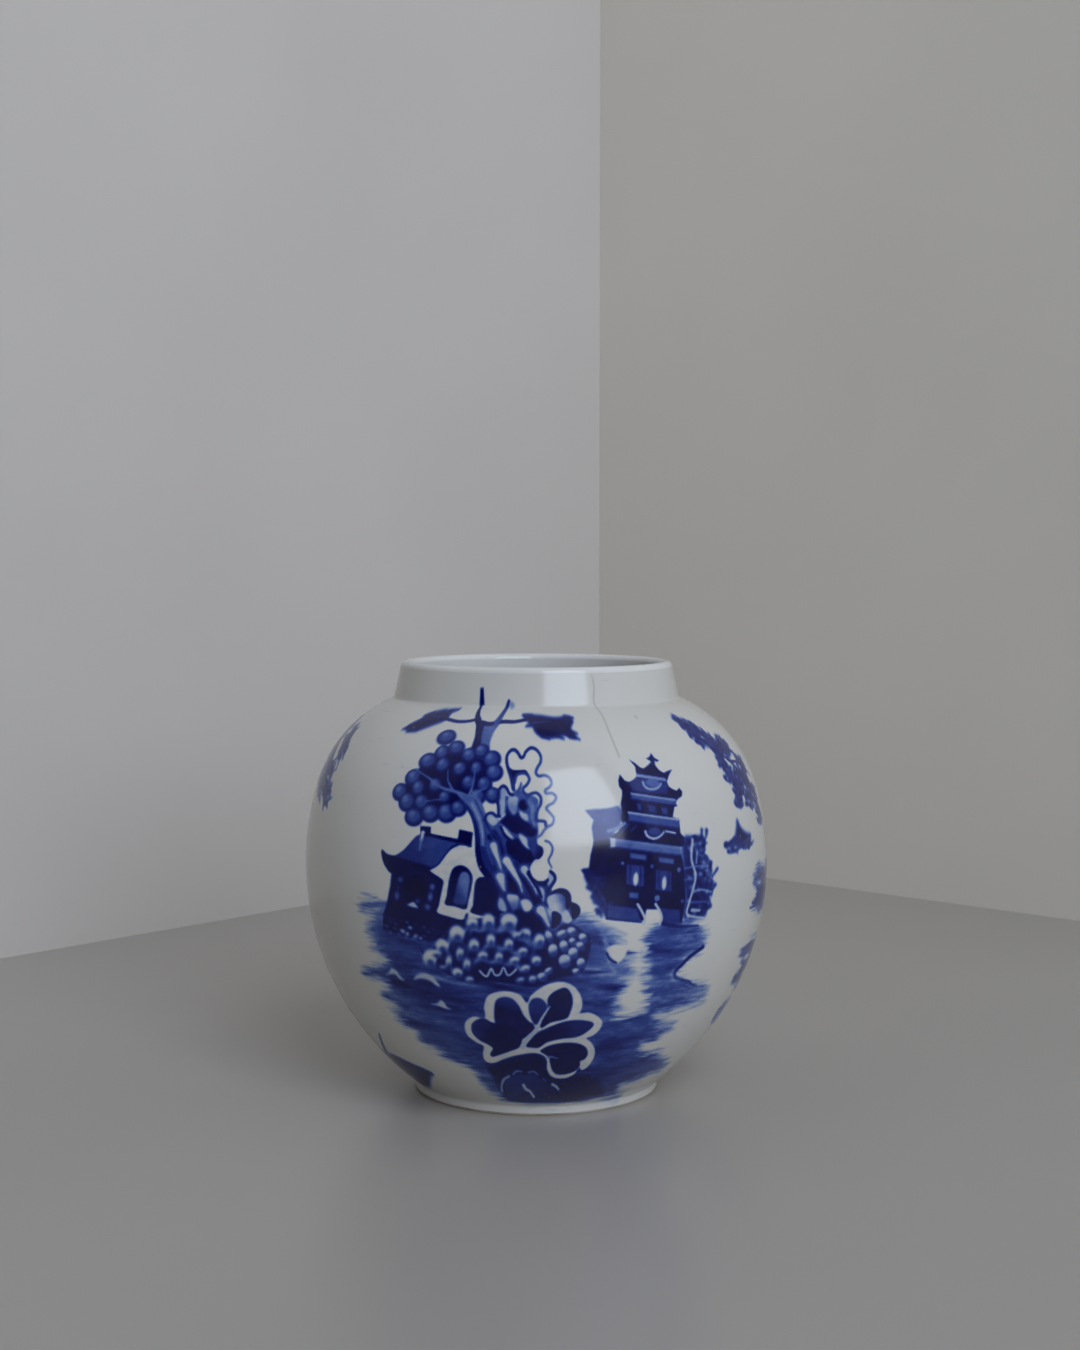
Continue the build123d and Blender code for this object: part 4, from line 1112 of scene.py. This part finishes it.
# a turned skin: every point of a profile becomes a ring
def linkUp(tree, source, target):
    tree.links.new(source, target)


def turnedSkinTree():
    tree = bpy.data.node_groups.new("turnedSkin", "GeometryNodeTree")
    tree.interface.new_socket("Profile", in_out="INPUT", socket_type="NodeSocketObject")
    tree.interface.new_socket("Segments", in_out="INPUT", socket_type="NodeSocketInt").default_value = 264
    tree.interface.new_socket("Crease", in_out="INPUT", socket_type="NodeSocketFloat").default_value = 0.6
    tree.interface.new_socket("Finish", in_out="INPUT", socket_type="NodeSocketMaterial")
    tree.interface.new_socket("Geometry", in_out="OUTPUT", socket_type="NodeSocketGeometry")
    add = tree.nodes.new
    given, result = add("NodeGroupInput"), add("NodeGroupOutput")

    def maths(kind, a, b):
        node = add("ShaderNodeMath")
        node.operation = kind
        for socket, value in zip(node.inputs, (a, b)):
            if isinstance(value, (int, float)):
                socket.default_value = value
            elif value is not None:
                linkUp(tree, value, socket)
        return node.outputs[0]
    line = add("GeometryNodeObjectInfo")
    linkUp(tree, given.outputs["Profile"], line.inputs["Object"])
    size = add("GeometryNodeAttributeDomainSize")
    size.component = "MESH"
    linkUp(tree, line.outputs["Geometry"], size.inputs["Geometry"])
    rings = size.outputs["Point Count"]
    grid = add("GeometryNodeMeshGrid")
    linkUp(tree, maths("ADD", given.outputs["Segments"], 1), grid.inputs["Vertices X"])
    linkUp(tree, rings, grid.inputs["Vertices Y"])
    order = add("GeometryNodeInputIndex").outputs[0]
    ring = maths("FLOORED_MODULO", order, rings)
    column = maths("FLOOR", maths("DIVIDE", maths("ADD", order, 0.5), rings), None)
    where = add("GeometryNodeInputPosition")
    sample = add("GeometryNodeSampleIndex")
    sample.data_type = "FLOAT_VECTOR"
    linkUp(tree, line.outputs["Geometry"], sample.inputs["Geometry"])
    linkUp(tree, where.outputs[0], sample.inputs["Value"])
    linkUp(tree, ring, sample.inputs["Index"])
    parts = add("ShaderNodeSeparateXYZ")
    linkUp(tree, sample.outputs["Value"], parts.inputs[0])
    angle = maths("MULTIPLY", maths("DIVIDE", column, given.outputs["Segments"]), 2 * math.pi)
    place = add("ShaderNodeCombineXYZ")
    linkUp(tree, maths("MULTIPLY", parts.outputs["X"], maths("SINE", angle, None)), place.inputs["X"])
    linkUp(tree, maths("MULTIPLY", maths("MULTIPLY", parts.outputs["X"], maths("COSINE", angle, None)), -1),
           place.inputs["Y"])
    linkUp(tree, parts.outputs["Z"], place.inputs["Z"])
    turn = add("GeometryNodeSetPosition")
    linkUp(tree, grid.outputs["Mesh"], turn.inputs["Geometry"])
    linkUp(tree, place.outputs[0], turn.inputs["Position"])
    weld = add("GeometryNodeMergeByDistance")
    weld.inputs["Distance"].default_value = 2e-6
    linkUp(tree, turn.outputs[0], weld.inputs["Geometry"])
    smooth = add("GeometryNodeSetShadeSmooth")
    linkUp(tree, weld.outputs[0], smooth.inputs["Geometry"])
    bend = add("GeometryNodeInputMeshEdgeAngle")
    soft = add("FunctionNodeCompare")
    soft.data_type, soft.operation = "FLOAT", "LESS_THAN"
    linkUp(tree, bend.outputs["Unsigned Angle"], soft.inputs[0])
    linkUp(tree, given.outputs["Crease"], soft.inputs[1])
    crease = add("GeometryNodeSetShadeSmooth")
    crease.domain = "EDGE"
    linkUp(tree, smooth.outputs[0], crease.inputs["Geometry"])
    linkUp(tree, soft.outputs[0], crease.inputs["Shade Smooth"])
    real = add("GeometryNodeRealizeInstances")
    linkUp(tree, crease.outputs[0], real.inputs[0])
    finish = add("GeometryNodeSetMaterial")
    linkUp(tree, real.outputs[0], finish.inputs["Geometry"])
    linkUp(tree, given.outputs["Finish"], finish.inputs["Material"])
    linkUp(tree, finish.outputs[0], result.inputs[0])
    return tree


def turned(name, line, tree, material, cadNode):
    # line is a closed section's points, from the axis round to the axis, in mm
    profileMesh = bpy.data.meshes.new(name + "Line")
    edges = [(k, k + 1) for k in range(len(line) - 1)]
    profileMesh.from_pydata([(x * mm, 0, z * mm) for x, z in line], edges, [])
    guide = bpy.data.objects.new(name + "Line", profileMesh)
    holder = bpy.data.objects.new(name + "Blank", bpy.data.meshes.new(name + "Blank"))
    for each in (guide, holder):
        bpy.context.scene.collection.objects.link(each)
    modifier = holder.modifiers.new("turn", "NODES")
    modifier.node_group = tree
    given = (item for item in tree.interface.items_tree if item.in_out == "INPUT")
    inputs = {item.name: item.identifier for item in given}
    modifier[inputs["Profile"]] = guide
    modifier[inputs["Segments"]] = jar["segments"]
    modifier[inputs["Finish"]] = material
    bpy.context.view_layer.update()
    mesh = bpy.data.meshes.new_from_object(holder.evaluated_get(bpy.context.evaluated_depsgraph_get()))
    mesh.name = name
    holder.modifiers.remove(modifier)
    for each in (guide, holder):
        bpy.data.objects.remove(each)
    print(name, len(mesh.polygons), "faces")
    return finishObject(name, mesh, material, cadNode)


def thinned(line, tolerance):
    # the fewest points of a dense line that stay within the tolerance of it
    picked, last = [0], 0
    while last < len(line) - 1:
        stop = last + 1
        while stop < len(line) - 1 and stop - last < 40:
            ends = line[last], line[stop + 1]
            across = np.array((ends[0][1] - ends[1][1], ends[1][0] - ends[0][0]))
            off = (line[last:stop + 2] - ends[0]) @ across / max(np.linalg.norm(across), 1e-9)
            if np.abs(off).max() > tolerance:
                break
            stop += 1
        picked.append(stop)
        last = stop
    return line[picked]


insideMesh = {"seen": 0.008, "hidden": 0.05}      # how far the section's points may stray, in mm


def insideSection():
    line = thinned(insideLine(), insideMesh["seen"])
    slope = np.gradient(line, axis=0)
    slope /= np.linalg.norm(slope, axis=1)[:, None]
    back = line - np.stack([slope[:, 1], -slope[:, 0]], 1) * jar["glaze"]
    back[0] = line[0]
    back[-1, 0] = line[-1, 0] = 0
    return np.concatenate([thinned(back[:0:-1], insideMesh["hidden"]), line])


# finishes
def groupWith(name, inputs, outputs):
    tree = bpy.data.node_groups.new(name, "ShaderNodeTree")
    for label, kind, value in inputs:
        socket = tree.interface.new_socket(label, in_out="INPUT", socket_type=kind)
        if value is not None:
            socket.default_value = value
    for label, kind in outputs:
        tree.interface.new_socket(label, in_out="OUTPUT", socket_type=kind)
    return tree, tree.nodes.new("NodeGroupInput"), tree.nodes.new("NodeGroupOutput")


def put(tree, kind, sockets=(), **settings):
    # a node with its settings, and its inputs given as values or as other sockets
    node = tree.nodes.new(kind)
    for key, value in settings.items():
        setattr(node, key, value)
    for key, value in dict(sockets).items():
        if hasattr(value, "is_linked"):
            tree.links.new(value, node.inputs[key])
        else:
            node.inputs[key].default_value = value
    return node


def sums(tree, kind, a, b=0.0, c=0.0):
    return put(tree, "ShaderNodeMath", {0: a, 1: b, 2: c}, operation=kind).outputs[0]


def ramp(tree, value, stops):
    node = put(tree, "ShaderNodeValToRGB", {0: value})
    while len(node.color_ramp.elements) < len(stops):
        node.color_ramp.elements.new(0.5)
    for element, (at, colour) in zip(node.color_ramp.elements, stops):
        element.position = at
        element.color = (*colour, 1)
    return node.outputs[0]


def blend(tree, amount, a, b, kind="MIX"):
    node = put(tree, "ShaderNodeMix", data_type="RGBA", blend_type=kind)
    for key, value in ((0, amount), (6, a), (7, b)):
        if hasattr(value, "is_linked"):
            tree.links.new(value, node.inputs[key])
        else:
            node.inputs[key].default_value = value
    return node.outputs[2]


def drift(tree, place, scale, detail=2.0, roughness=0.5):
    # smooth unevenness from 0 to 1, its three scales given per metre
    stretched = put(tree, "ShaderNodeVectorMath", {0: place, 1: scale}, operation="MULTIPLY").outputs[0]
    return put(tree, "ShaderNodeTexNoise", {"Vector": stretched, "Scale": 1.0, "Detail": detail,
                                            "Roughness": roughness}).outputs["Fac"]


# what a dipped glaze does: scales are per metre, shares are of the swell
uneven = {
    "swell": (34, 34, 46),
    "ripple": (160, 160, 190),
    "rippleShare": 0.12,
    "speckScale": 190.0,
    "speckSize": 0.075,         # of the distance between specks
    "speckRarity": 0.93,
    "pinhole": 0.4,
    "tint": (14, 14, 18),
}


def unevenGlazeGroup():
    # the slight swell, pinholes and specks of a dipped glaze
    number = "NodeSocketFloat"
    inputs = (("Place", "NodeSocketVector", None), ("Swell", number, 1.0), ("Specks", number, 0.5))
    outputs = (("Height", number), ("Speck", number), ("Tint", number))
    tree, given, out = groupWith("unevenGlaze", inputs, outputs)
    place = given.outputs["Place"]
    wide = drift(tree, place, uneven["swell"], 1.0)
    fine = drift(tree, place, uneven["ripple"], 1.0)
    height = sums(tree, "MULTIPLY_ADD", fine, uneven["rippleShare"], wide)
    voronoi = {"Vector": place, "Scale": uneven["speckScale"]}
    cells = put(tree, "ShaderNodeTexVoronoi", voronoi, feature="F1")
    near = sums(tree, "LESS_THAN", cells.outputs["Distance"], uneven["speckSize"])
    chance = put(tree, "ShaderNodeSeparateColor", {0: cells.outputs["Color"]}).outputs[0]
    rare = sums(tree, "GREATER_THAN", chance, uneven["speckRarity"])
    speck = sums(tree, "MULTIPLY", sums(tree, "MULTIPLY", near, rare), given.outputs["Specks"])
    height = sums(tree, "SUBTRACT", height, sums(tree, "MULTIPLY", speck, uneven["pinhole"]))
    tree.links.new(sums(tree, "MULTIPLY", height, given.outputs["Swell"]), out.inputs["Height"])
    tree.links.new(speck, out.inputs["Speck"])
    tree.links.new(drift(tree, place, uneven["tint"], 3.0), out.inputs["Tint"])
    return tree


cobalt = {
    "streak": (90, 90, 640),       # how the brush drags the washes, per metre
    "edgeBreak": 1.15,              # how ragged a wash's edge is
    "washVariation": 0.8,
    "inkVariation": 0.2,
    "craze": 0.6,                   # how strongly the fine cracks show
    "crazeColour": (0.3, 0.27, 0.23, 1),
    "ramp": (                       # from bare glaze to the deepest blue
        (0.0, (0.605, 0.59, 0.55)),
        (0.18, (0.31, 0.375, 0.5)),
        (0.35, (0.1, 0.16, 0.4)),
        (0.5, (0.03, 0.062, 0.27)),
        (0.68, (0.009, 0.02, 0.165)),
        (0.85, (0.0025, 0.004, 0.085)),
        (1.0, (0.001, 0.0015, 0.04)),
    ),
}


def cobaltPrintGroup():
    # the blue, from four masks that a piece carries: line work, where it covers, washes and their depth
    number = "NodeSocketFloat"
    inputs = (("Place", "NodeSocketVector", None), ("Ink", number, 0.0), ("Cover", number, 0.0),
              ("Wash", number, 0.0), ("Depth", number, 0.5), ("Edge Break", number, 0.6),
              ("Wash Variation", number, 0.5), ("Ink Variation", number, 0.15))
    tree, given, out = groupWith("cobaltPrint", inputs, (("Color", "NodeSocketColor"), ("Tone", number)))
    place = given.outputs["Place"]
    streaks = drift(tree, place, cobalt["streak"], 3.0, 0.6)
    grain = drift(tree, place, (620, 620, 900), 2.0, 0.6)
    broken = sums(tree, "MULTIPLY_ADD", sums(tree, "SUBTRACT", streaks, 0.5), given.outputs["Edge Break"],
                  given.outputs["Wash"])
    washed = put(tree, "ShaderNodeMapRange", {"Value": broken, "From Min": 0.16, "From Max": 0.84},
                 interpolation_type="SMOOTHSTEP").outputs[0]
    pooled = drift(tree, place, (75, 75, 330), 3.0, 0.62)
    depth = sums(tree, "MULTIPLY_ADD", sums(tree, "SUBTRACT", pooled, 0.5), given.outputs["Wash Variation"],
                 given.outputs["Depth"])
    depth = sums(tree, "MULTIPLY_ADD", sums(tree, "SUBTRACT", grain, 0.5), 0.14, depth)
    washTone = sums(tree, "MULTIPLY", washed, sums(tree, "MAXIMUM", depth, 0.12))
    patchy = drift(tree, place, (260, 260, 380), 3.0, 0.6)
    ink = sums(tree, "MULTIPLY_ADD", sums(tree, "SUBTRACT", patchy, 0.5), given.outputs["Ink Variation"],
               given.outputs["Ink"])
    ink = sums(tree, "MULTIPLY_ADD", sums(tree, "SUBTRACT", grain, 0.5), 0.08, ink)
    layers = {0: given.outputs["Cover"], 2: washTone, 3: ink}
    tone = put(tree, "ShaderNodeMix", layers, data_type="FLOAT").outputs[0]
    tree.links.new(ramp(tree, tone, cobalt["ramp"]), out.inputs["Color"])
    tree.links.new(tone, out.inputs["Tone"])
    return tree


glazeParts = {"uneven": unevenGlazeGroup(), "print": cobaltPrintGroup()}


# the glaze of each piece: pale is its palest and fullest white
outside = {"swell": 1.0, "specks": 0.6, "gloss": 0.11}
# painted light: the inside's pale whites are lighter than the outside's glaze white, to brighten the jar's
# inside
inside = {"swell": 1.0, "specks": 0.8, "gloss": 0.08, "pale": ((0.68, 0.67, 0.64), (0.74, 0.73, 0.7))}
foot = {"swell": 1.0, "specks": 0.8, "gloss": 0.08, "pale": ((0.56, 0.545, 0.51), (0.605, 0.59, 0.55))}
cloudTint = ((0.3, (0.93, 0.945, 0.955)), (0.5, (0.98, 0.985, 0.985)), (0.7, (1, 1, 1)))
speckColour = (0.2, 0.17, 0.13, 1)


def glazed(name, look, printed=False):
    material = bpy.data.materials.new(name)
    material.use_nodes = True
    tree = material.node_tree
    shader = tree.nodes["Principled BSDF"]
    place = put(tree, "ShaderNodeTexCoord").outputs["Object"]
    dipped = put(tree, "ShaderNodeGroup", node_tree=glazeParts["uneven"])
    tree.links.new(place, dipped.inputs["Place"])
    dipped.inputs["Swell"].default_value = look["swell"]
    dipped.inputs["Specks"].default_value = look["specks"]
    if printed:
        blue = put(tree, "ShaderNodeGroup", node_tree=glazeParts["print"])
        tree.links.new(place, blue.inputs["Place"])
        for label in ("Ink", "Cover", "Wash", "Depth"):
            mask = put(tree, "ShaderNodeAttribute", attribute_name=label.lower())
            tree.links.new(mask.outputs["Fac"], blue.inputs[label])
        blue.inputs["Edge Break"].default_value = cobalt["edgeBreak"]
        blue.inputs["Wash Variation"].default_value = cobalt["washVariation"]
        blue.inputs["Ink Variation"].default_value = cobalt["inkVariation"]
        colour = blue.outputs["Color"]
        craze = put(tree, "ShaderNodeAttribute", attribute_name="craze").outputs["Fac"]
        cracks = sums(tree, "MULTIPLY", craze, cobalt["craze"])
        colour = blend(tree, cracks, colour, cobalt["crazeColour"])
    else:
        colour = ramp(tree, dipped.outputs["Tint"], ((0.3, look["pale"][0]), (0.7, look["pale"][1])))
    colour = blend(tree, 1.0, colour, ramp(tree, dipped.outputs["Tint"], cloudTint), "MULTIPLY")
    colour = blend(tree, sums(tree, "MULTIPLY", dipped.outputs["Speck"], 0.7), colour, speckColour)
    tree.links.new(colour, shader.inputs["Base Color"])
    gloss = {"Value": dipped.outputs["Tint"], "From Min": 0.3, "From Max": 0.7,
             "To Min": look["gloss"], "To Max": look["gloss"] + 0.05}
    tree.links.new(put(tree, "ShaderNodeMapRange", gloss).outputs[0], shader.inputs["Roughness"])
    swell = {"Strength": 0.35, "Distance": 0.0006, "Height": dipped.outputs["Height"]}
    bump = put(tree, "ShaderNodeBump", swell)
    tree.links.new(bump.outputs[0], shader.inputs["Normal"])
    shader.inputs["IOR"].default_value = 1.44
    return material


# the wiped foot ring: scales per metre
bare = {
    "sand": (1500, 1500, 1500),
    "stain": (70, 70, 240),
    "clay": ((0.3, (0.36, 0.3, 0.22)), (0.55, (0.56, 0.5, 0.41)), (0.75, (0.64, 0.6, 0.52))),
    "grit": ((0.3, (0.78, 0.75, 0.7)), (0.55, (1, 1, 1))),
}


def bareClay(name):
    # open, sandy, a little stained where it has been handled
    material = bpy.data.materials.new(name)
    material.use_nodes = True
    tree = material.node_tree
    shader = tree.nodes["Principled BSDF"]
    place = put(tree, "ShaderNodeTexCoord").outputs["Object"]
    sand = drift(tree, place, bare["sand"], 3.0, 0.7)
    stain = drift(tree, place, bare["stain"], 3.0)
    base = ramp(tree, stain, bare["clay"])
    tree.links.new(blend(tree, 1.0, base, ramp(tree, sand, bare["grit"]), "MULTIPLY"),
                   shader.inputs["Base Color"])
    tree.links.new(sums(tree, "MULTIPLY_ADD", sand, 0.2, 0.66), shader.inputs["Roughness"])
    bump = put(tree, "ShaderNodeBump", {"Strength": 0.6, "Distance": 0.0002, "Height": sand})
    tree.links.new(bump.outputs[0], shader.inputs["Normal"])
    return material


# putting the jar together
printedGlaze = glazed("blueAndWhiteGlaze", outside, printed=True)
plainGlaze = glazed("plainGlaze", inside)
footGlaze = glazed("footGlaze", foot)
clay = bareClay("bareClay")

printedShell("glaze_front", 0, printedGlaze, masks + ("craze",))
printedShell("glaze_back", 180, printedGlaze, masks)
turned("glaze_inside", insideSection(), turnedSkinTree(), plainGlaze, "glaze_coat")

for node, material, slotName in (("jar_body", clay, "biscuit"), ("base_glaze", footGlaze, "base_glaze")):
    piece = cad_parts[node]
    piece.data.materials.clear()
    piece.data.materials.append(material)
print("pieces made")


# the stage: the corner of a room, in metres
studio = {
    "floor": (0.4, 0.377, 0.345),
    # painted light: the right wall is given a lighter colour than the left, standing in for more light
    # falling on it
    "leftWall": (0.575, 0.542, 0.5),
    "rightWall": (0.7, 0.66, 0.585),
    "corner": (0.035, 0.493),
    "leftWallWay": (-0.670, -0.742),
    "rightWallWay": (0.731, -0.682),
    "wallSize": 3.0,
    "floorReach": 4,
    "shade": {"far": -0.75, "near": -0.27, "strength": 0.72, "depth": 0.2},     # painted shade: the left wall's colour darkens towards its far end
    "window": {"turn": 24.5, "away": 2.3, "low": 0.5, "high": 3.6, "wide": 1.5, "strength": 4.7,
               "colour": (0.8, 0.892, 1.06)},
    "fillColour": (1.0, 0.93, 0.84, 1),
    "fillWay": (1.0, 0.1, 0.35),        # where the room's own light comes from
    "fill": 0.26,
    "frontFill": 0.02,
}
view = {"place": (0.0012, -0.645, 0.1739), "tilt": 3.53, "lens": 53.07, "film": 36, "clip": (0.01, 20)}


def stageMaterial(name, colour, roughness, seenFromBehind):
    material = bpy.data.materials.new(name)
    material.use_nodes = True
    tree = material.node_tree
    shader = tree.nodes["Principled BSDF"]
    place = put(tree, "ShaderNodeTexCoord").outputs["Object"]
    soft = drift(tree, place, (5, 5, 5), 2.0)
    low, high = (tuple(c * k for c in colour) for k in (0.97, 1.03))
    plaster = ramp(tree, soft, ((0.3, low), (0.7, high)))
    if not seenFromBehind:                   # painted shade: the wall's colour darkens away from the corner, on the left
        paintedShade = studio["shade"]
        along = put(tree, "ShaderNodeSeparateXYZ", {"Vector": place}).outputs["X"]
        span = {"Value": along, "From Min": paintedShade["far"], "From Max": paintedShade["near"], "To Min": paintedShade["strength"],
                "To Max": 0.0}
        paintedShadeAmount = put(tree, "ShaderNodeMapRange", span, interpolation_type="SMOOTHSTEP").outputs[0]
        plaster = blend(tree, paintedShadeAmount, plaster, tuple(c * paintedShade["depth"] for c in colour) + (1,))
    tree.links.new(plaster, shader.inputs["Base Color"])
    shader.inputs["Roughness"].default_value = roughness
    if not seenFromBehind:
        clear = put(tree, "ShaderNodeBsdfTransparent")
        behind = put(tree, "ShaderNodeNewGeometry").outputs["Backfacing"]
        both = put(tree, "ShaderNodeMixShader")
        tree.links.new(behind, both.inputs[0])
        tree.links.new(shader.outputs[0], both.inputs[1])
        tree.links.new(clear.outputs[0], both.inputs[2])
        tree.links.new(both.outputs[0], tree.nodes["Material Output"].inputs["Surface"])
    return material


def stageSheet(name, points, faces, material):
    mesh = bpy.data.meshes.new(name)
    mesh.from_pydata(points, [], faces)
    mesh.materials.append(material)
    mesh.polygons.foreach_set("use_smooth", [True] * len(mesh.polygons))
    made = bpy.data.objects.new(name, mesh)
    bpy.context.scene.collection.objects.link(made)


reach = studio["floorReach"]
stageSheet("floor", [(-reach, -reach, 0), (reach, -reach, 0), (reach, reach, 0), (-reach, reach, 0)],
           [(0, 1, 2, 3)], stageMaterial("paleFloor", studio["floor"], 0.32, True))
corner = np.array(studio["corner"])
for name, swapped in (("leftWall", False), ("rightWall", True)):
    ends = [corner, corner + np.array(studio[name + "Way"]) * studio["wallSize"]]
    points = [(x, y, z) for z in (0, studio["wallSize"]) for x, y in (ends if swapped else ends[::-1])]
    stageSheet(name, points, [(0, 1, 3, 2)], stageMaterial(name, studio[name], 0.8, False))

pane = studio["window"]
turn = math.radians(pane["turn"])
light = bpy.data.lights.new("window", "AREA")
light.shape = "RECTANGLE"
light.size, light.size_y = pane["wide"], pane["high"] - pane["low"]
light.energy = pane["strength"] * math.pi * light.size * light.size_y
light.color = pane["colour"]
lamp = bpy.data.objects.new("window", light)
middle = (pane["low"] + pane["high"]) / 2
lamp.location = (pane["away"] * math.sin(turn), -pane["away"] * math.cos(turn), middle)
lamp.rotation_euler = (math.radians(90), 0, turn)
bpy.context.scene.collection.objects.link(lamp)

world = bpy.data.worlds.new("softRoom")
world.use_nodes = True
sky = world.node_tree
ways = {0: put(sky, "ShaderNodeTexCoord").outputs["Generated"], 1: studio["fillWay"]}
toBack = put(sky, "ShaderNodeVectorMath", ways, operation="DOT_PRODUCT").outputs["Value"]
spread = put(sky, "ShaderNodeMapRange", {"Value": toBack, "From Min": -0.6, "From Max": 0.6,
                                         "To Min": studio["frontFill"], "To Max": studio["fill"]}).outputs[0]
sky.nodes["Background"].inputs["Color"].default_value = studio["fillColour"]
sky.links.new(spread, sky.nodes["Background"].inputs["Strength"])
bpy.context.scene.world = world

lens = bpy.data.cameras.new("camera")
lens.sensor_fit = "VERTICAL"
lens.sensor_height = view["film"]
lens.lens = view["lens"]
lens.clip_start, lens.clip_end = view["clip"]
camera = bpy.data.objects.new("camera", lens)
camera.location = view["place"]
camera.rotation_euler = (math.radians(90 - view["tilt"]), 0, 0)
bpy.context.scene.collection.objects.link(camera)
bpy.context.scene.camera = camera
bpy.context.scene.view_settings.view_transform = "Standard"
print("stage set")
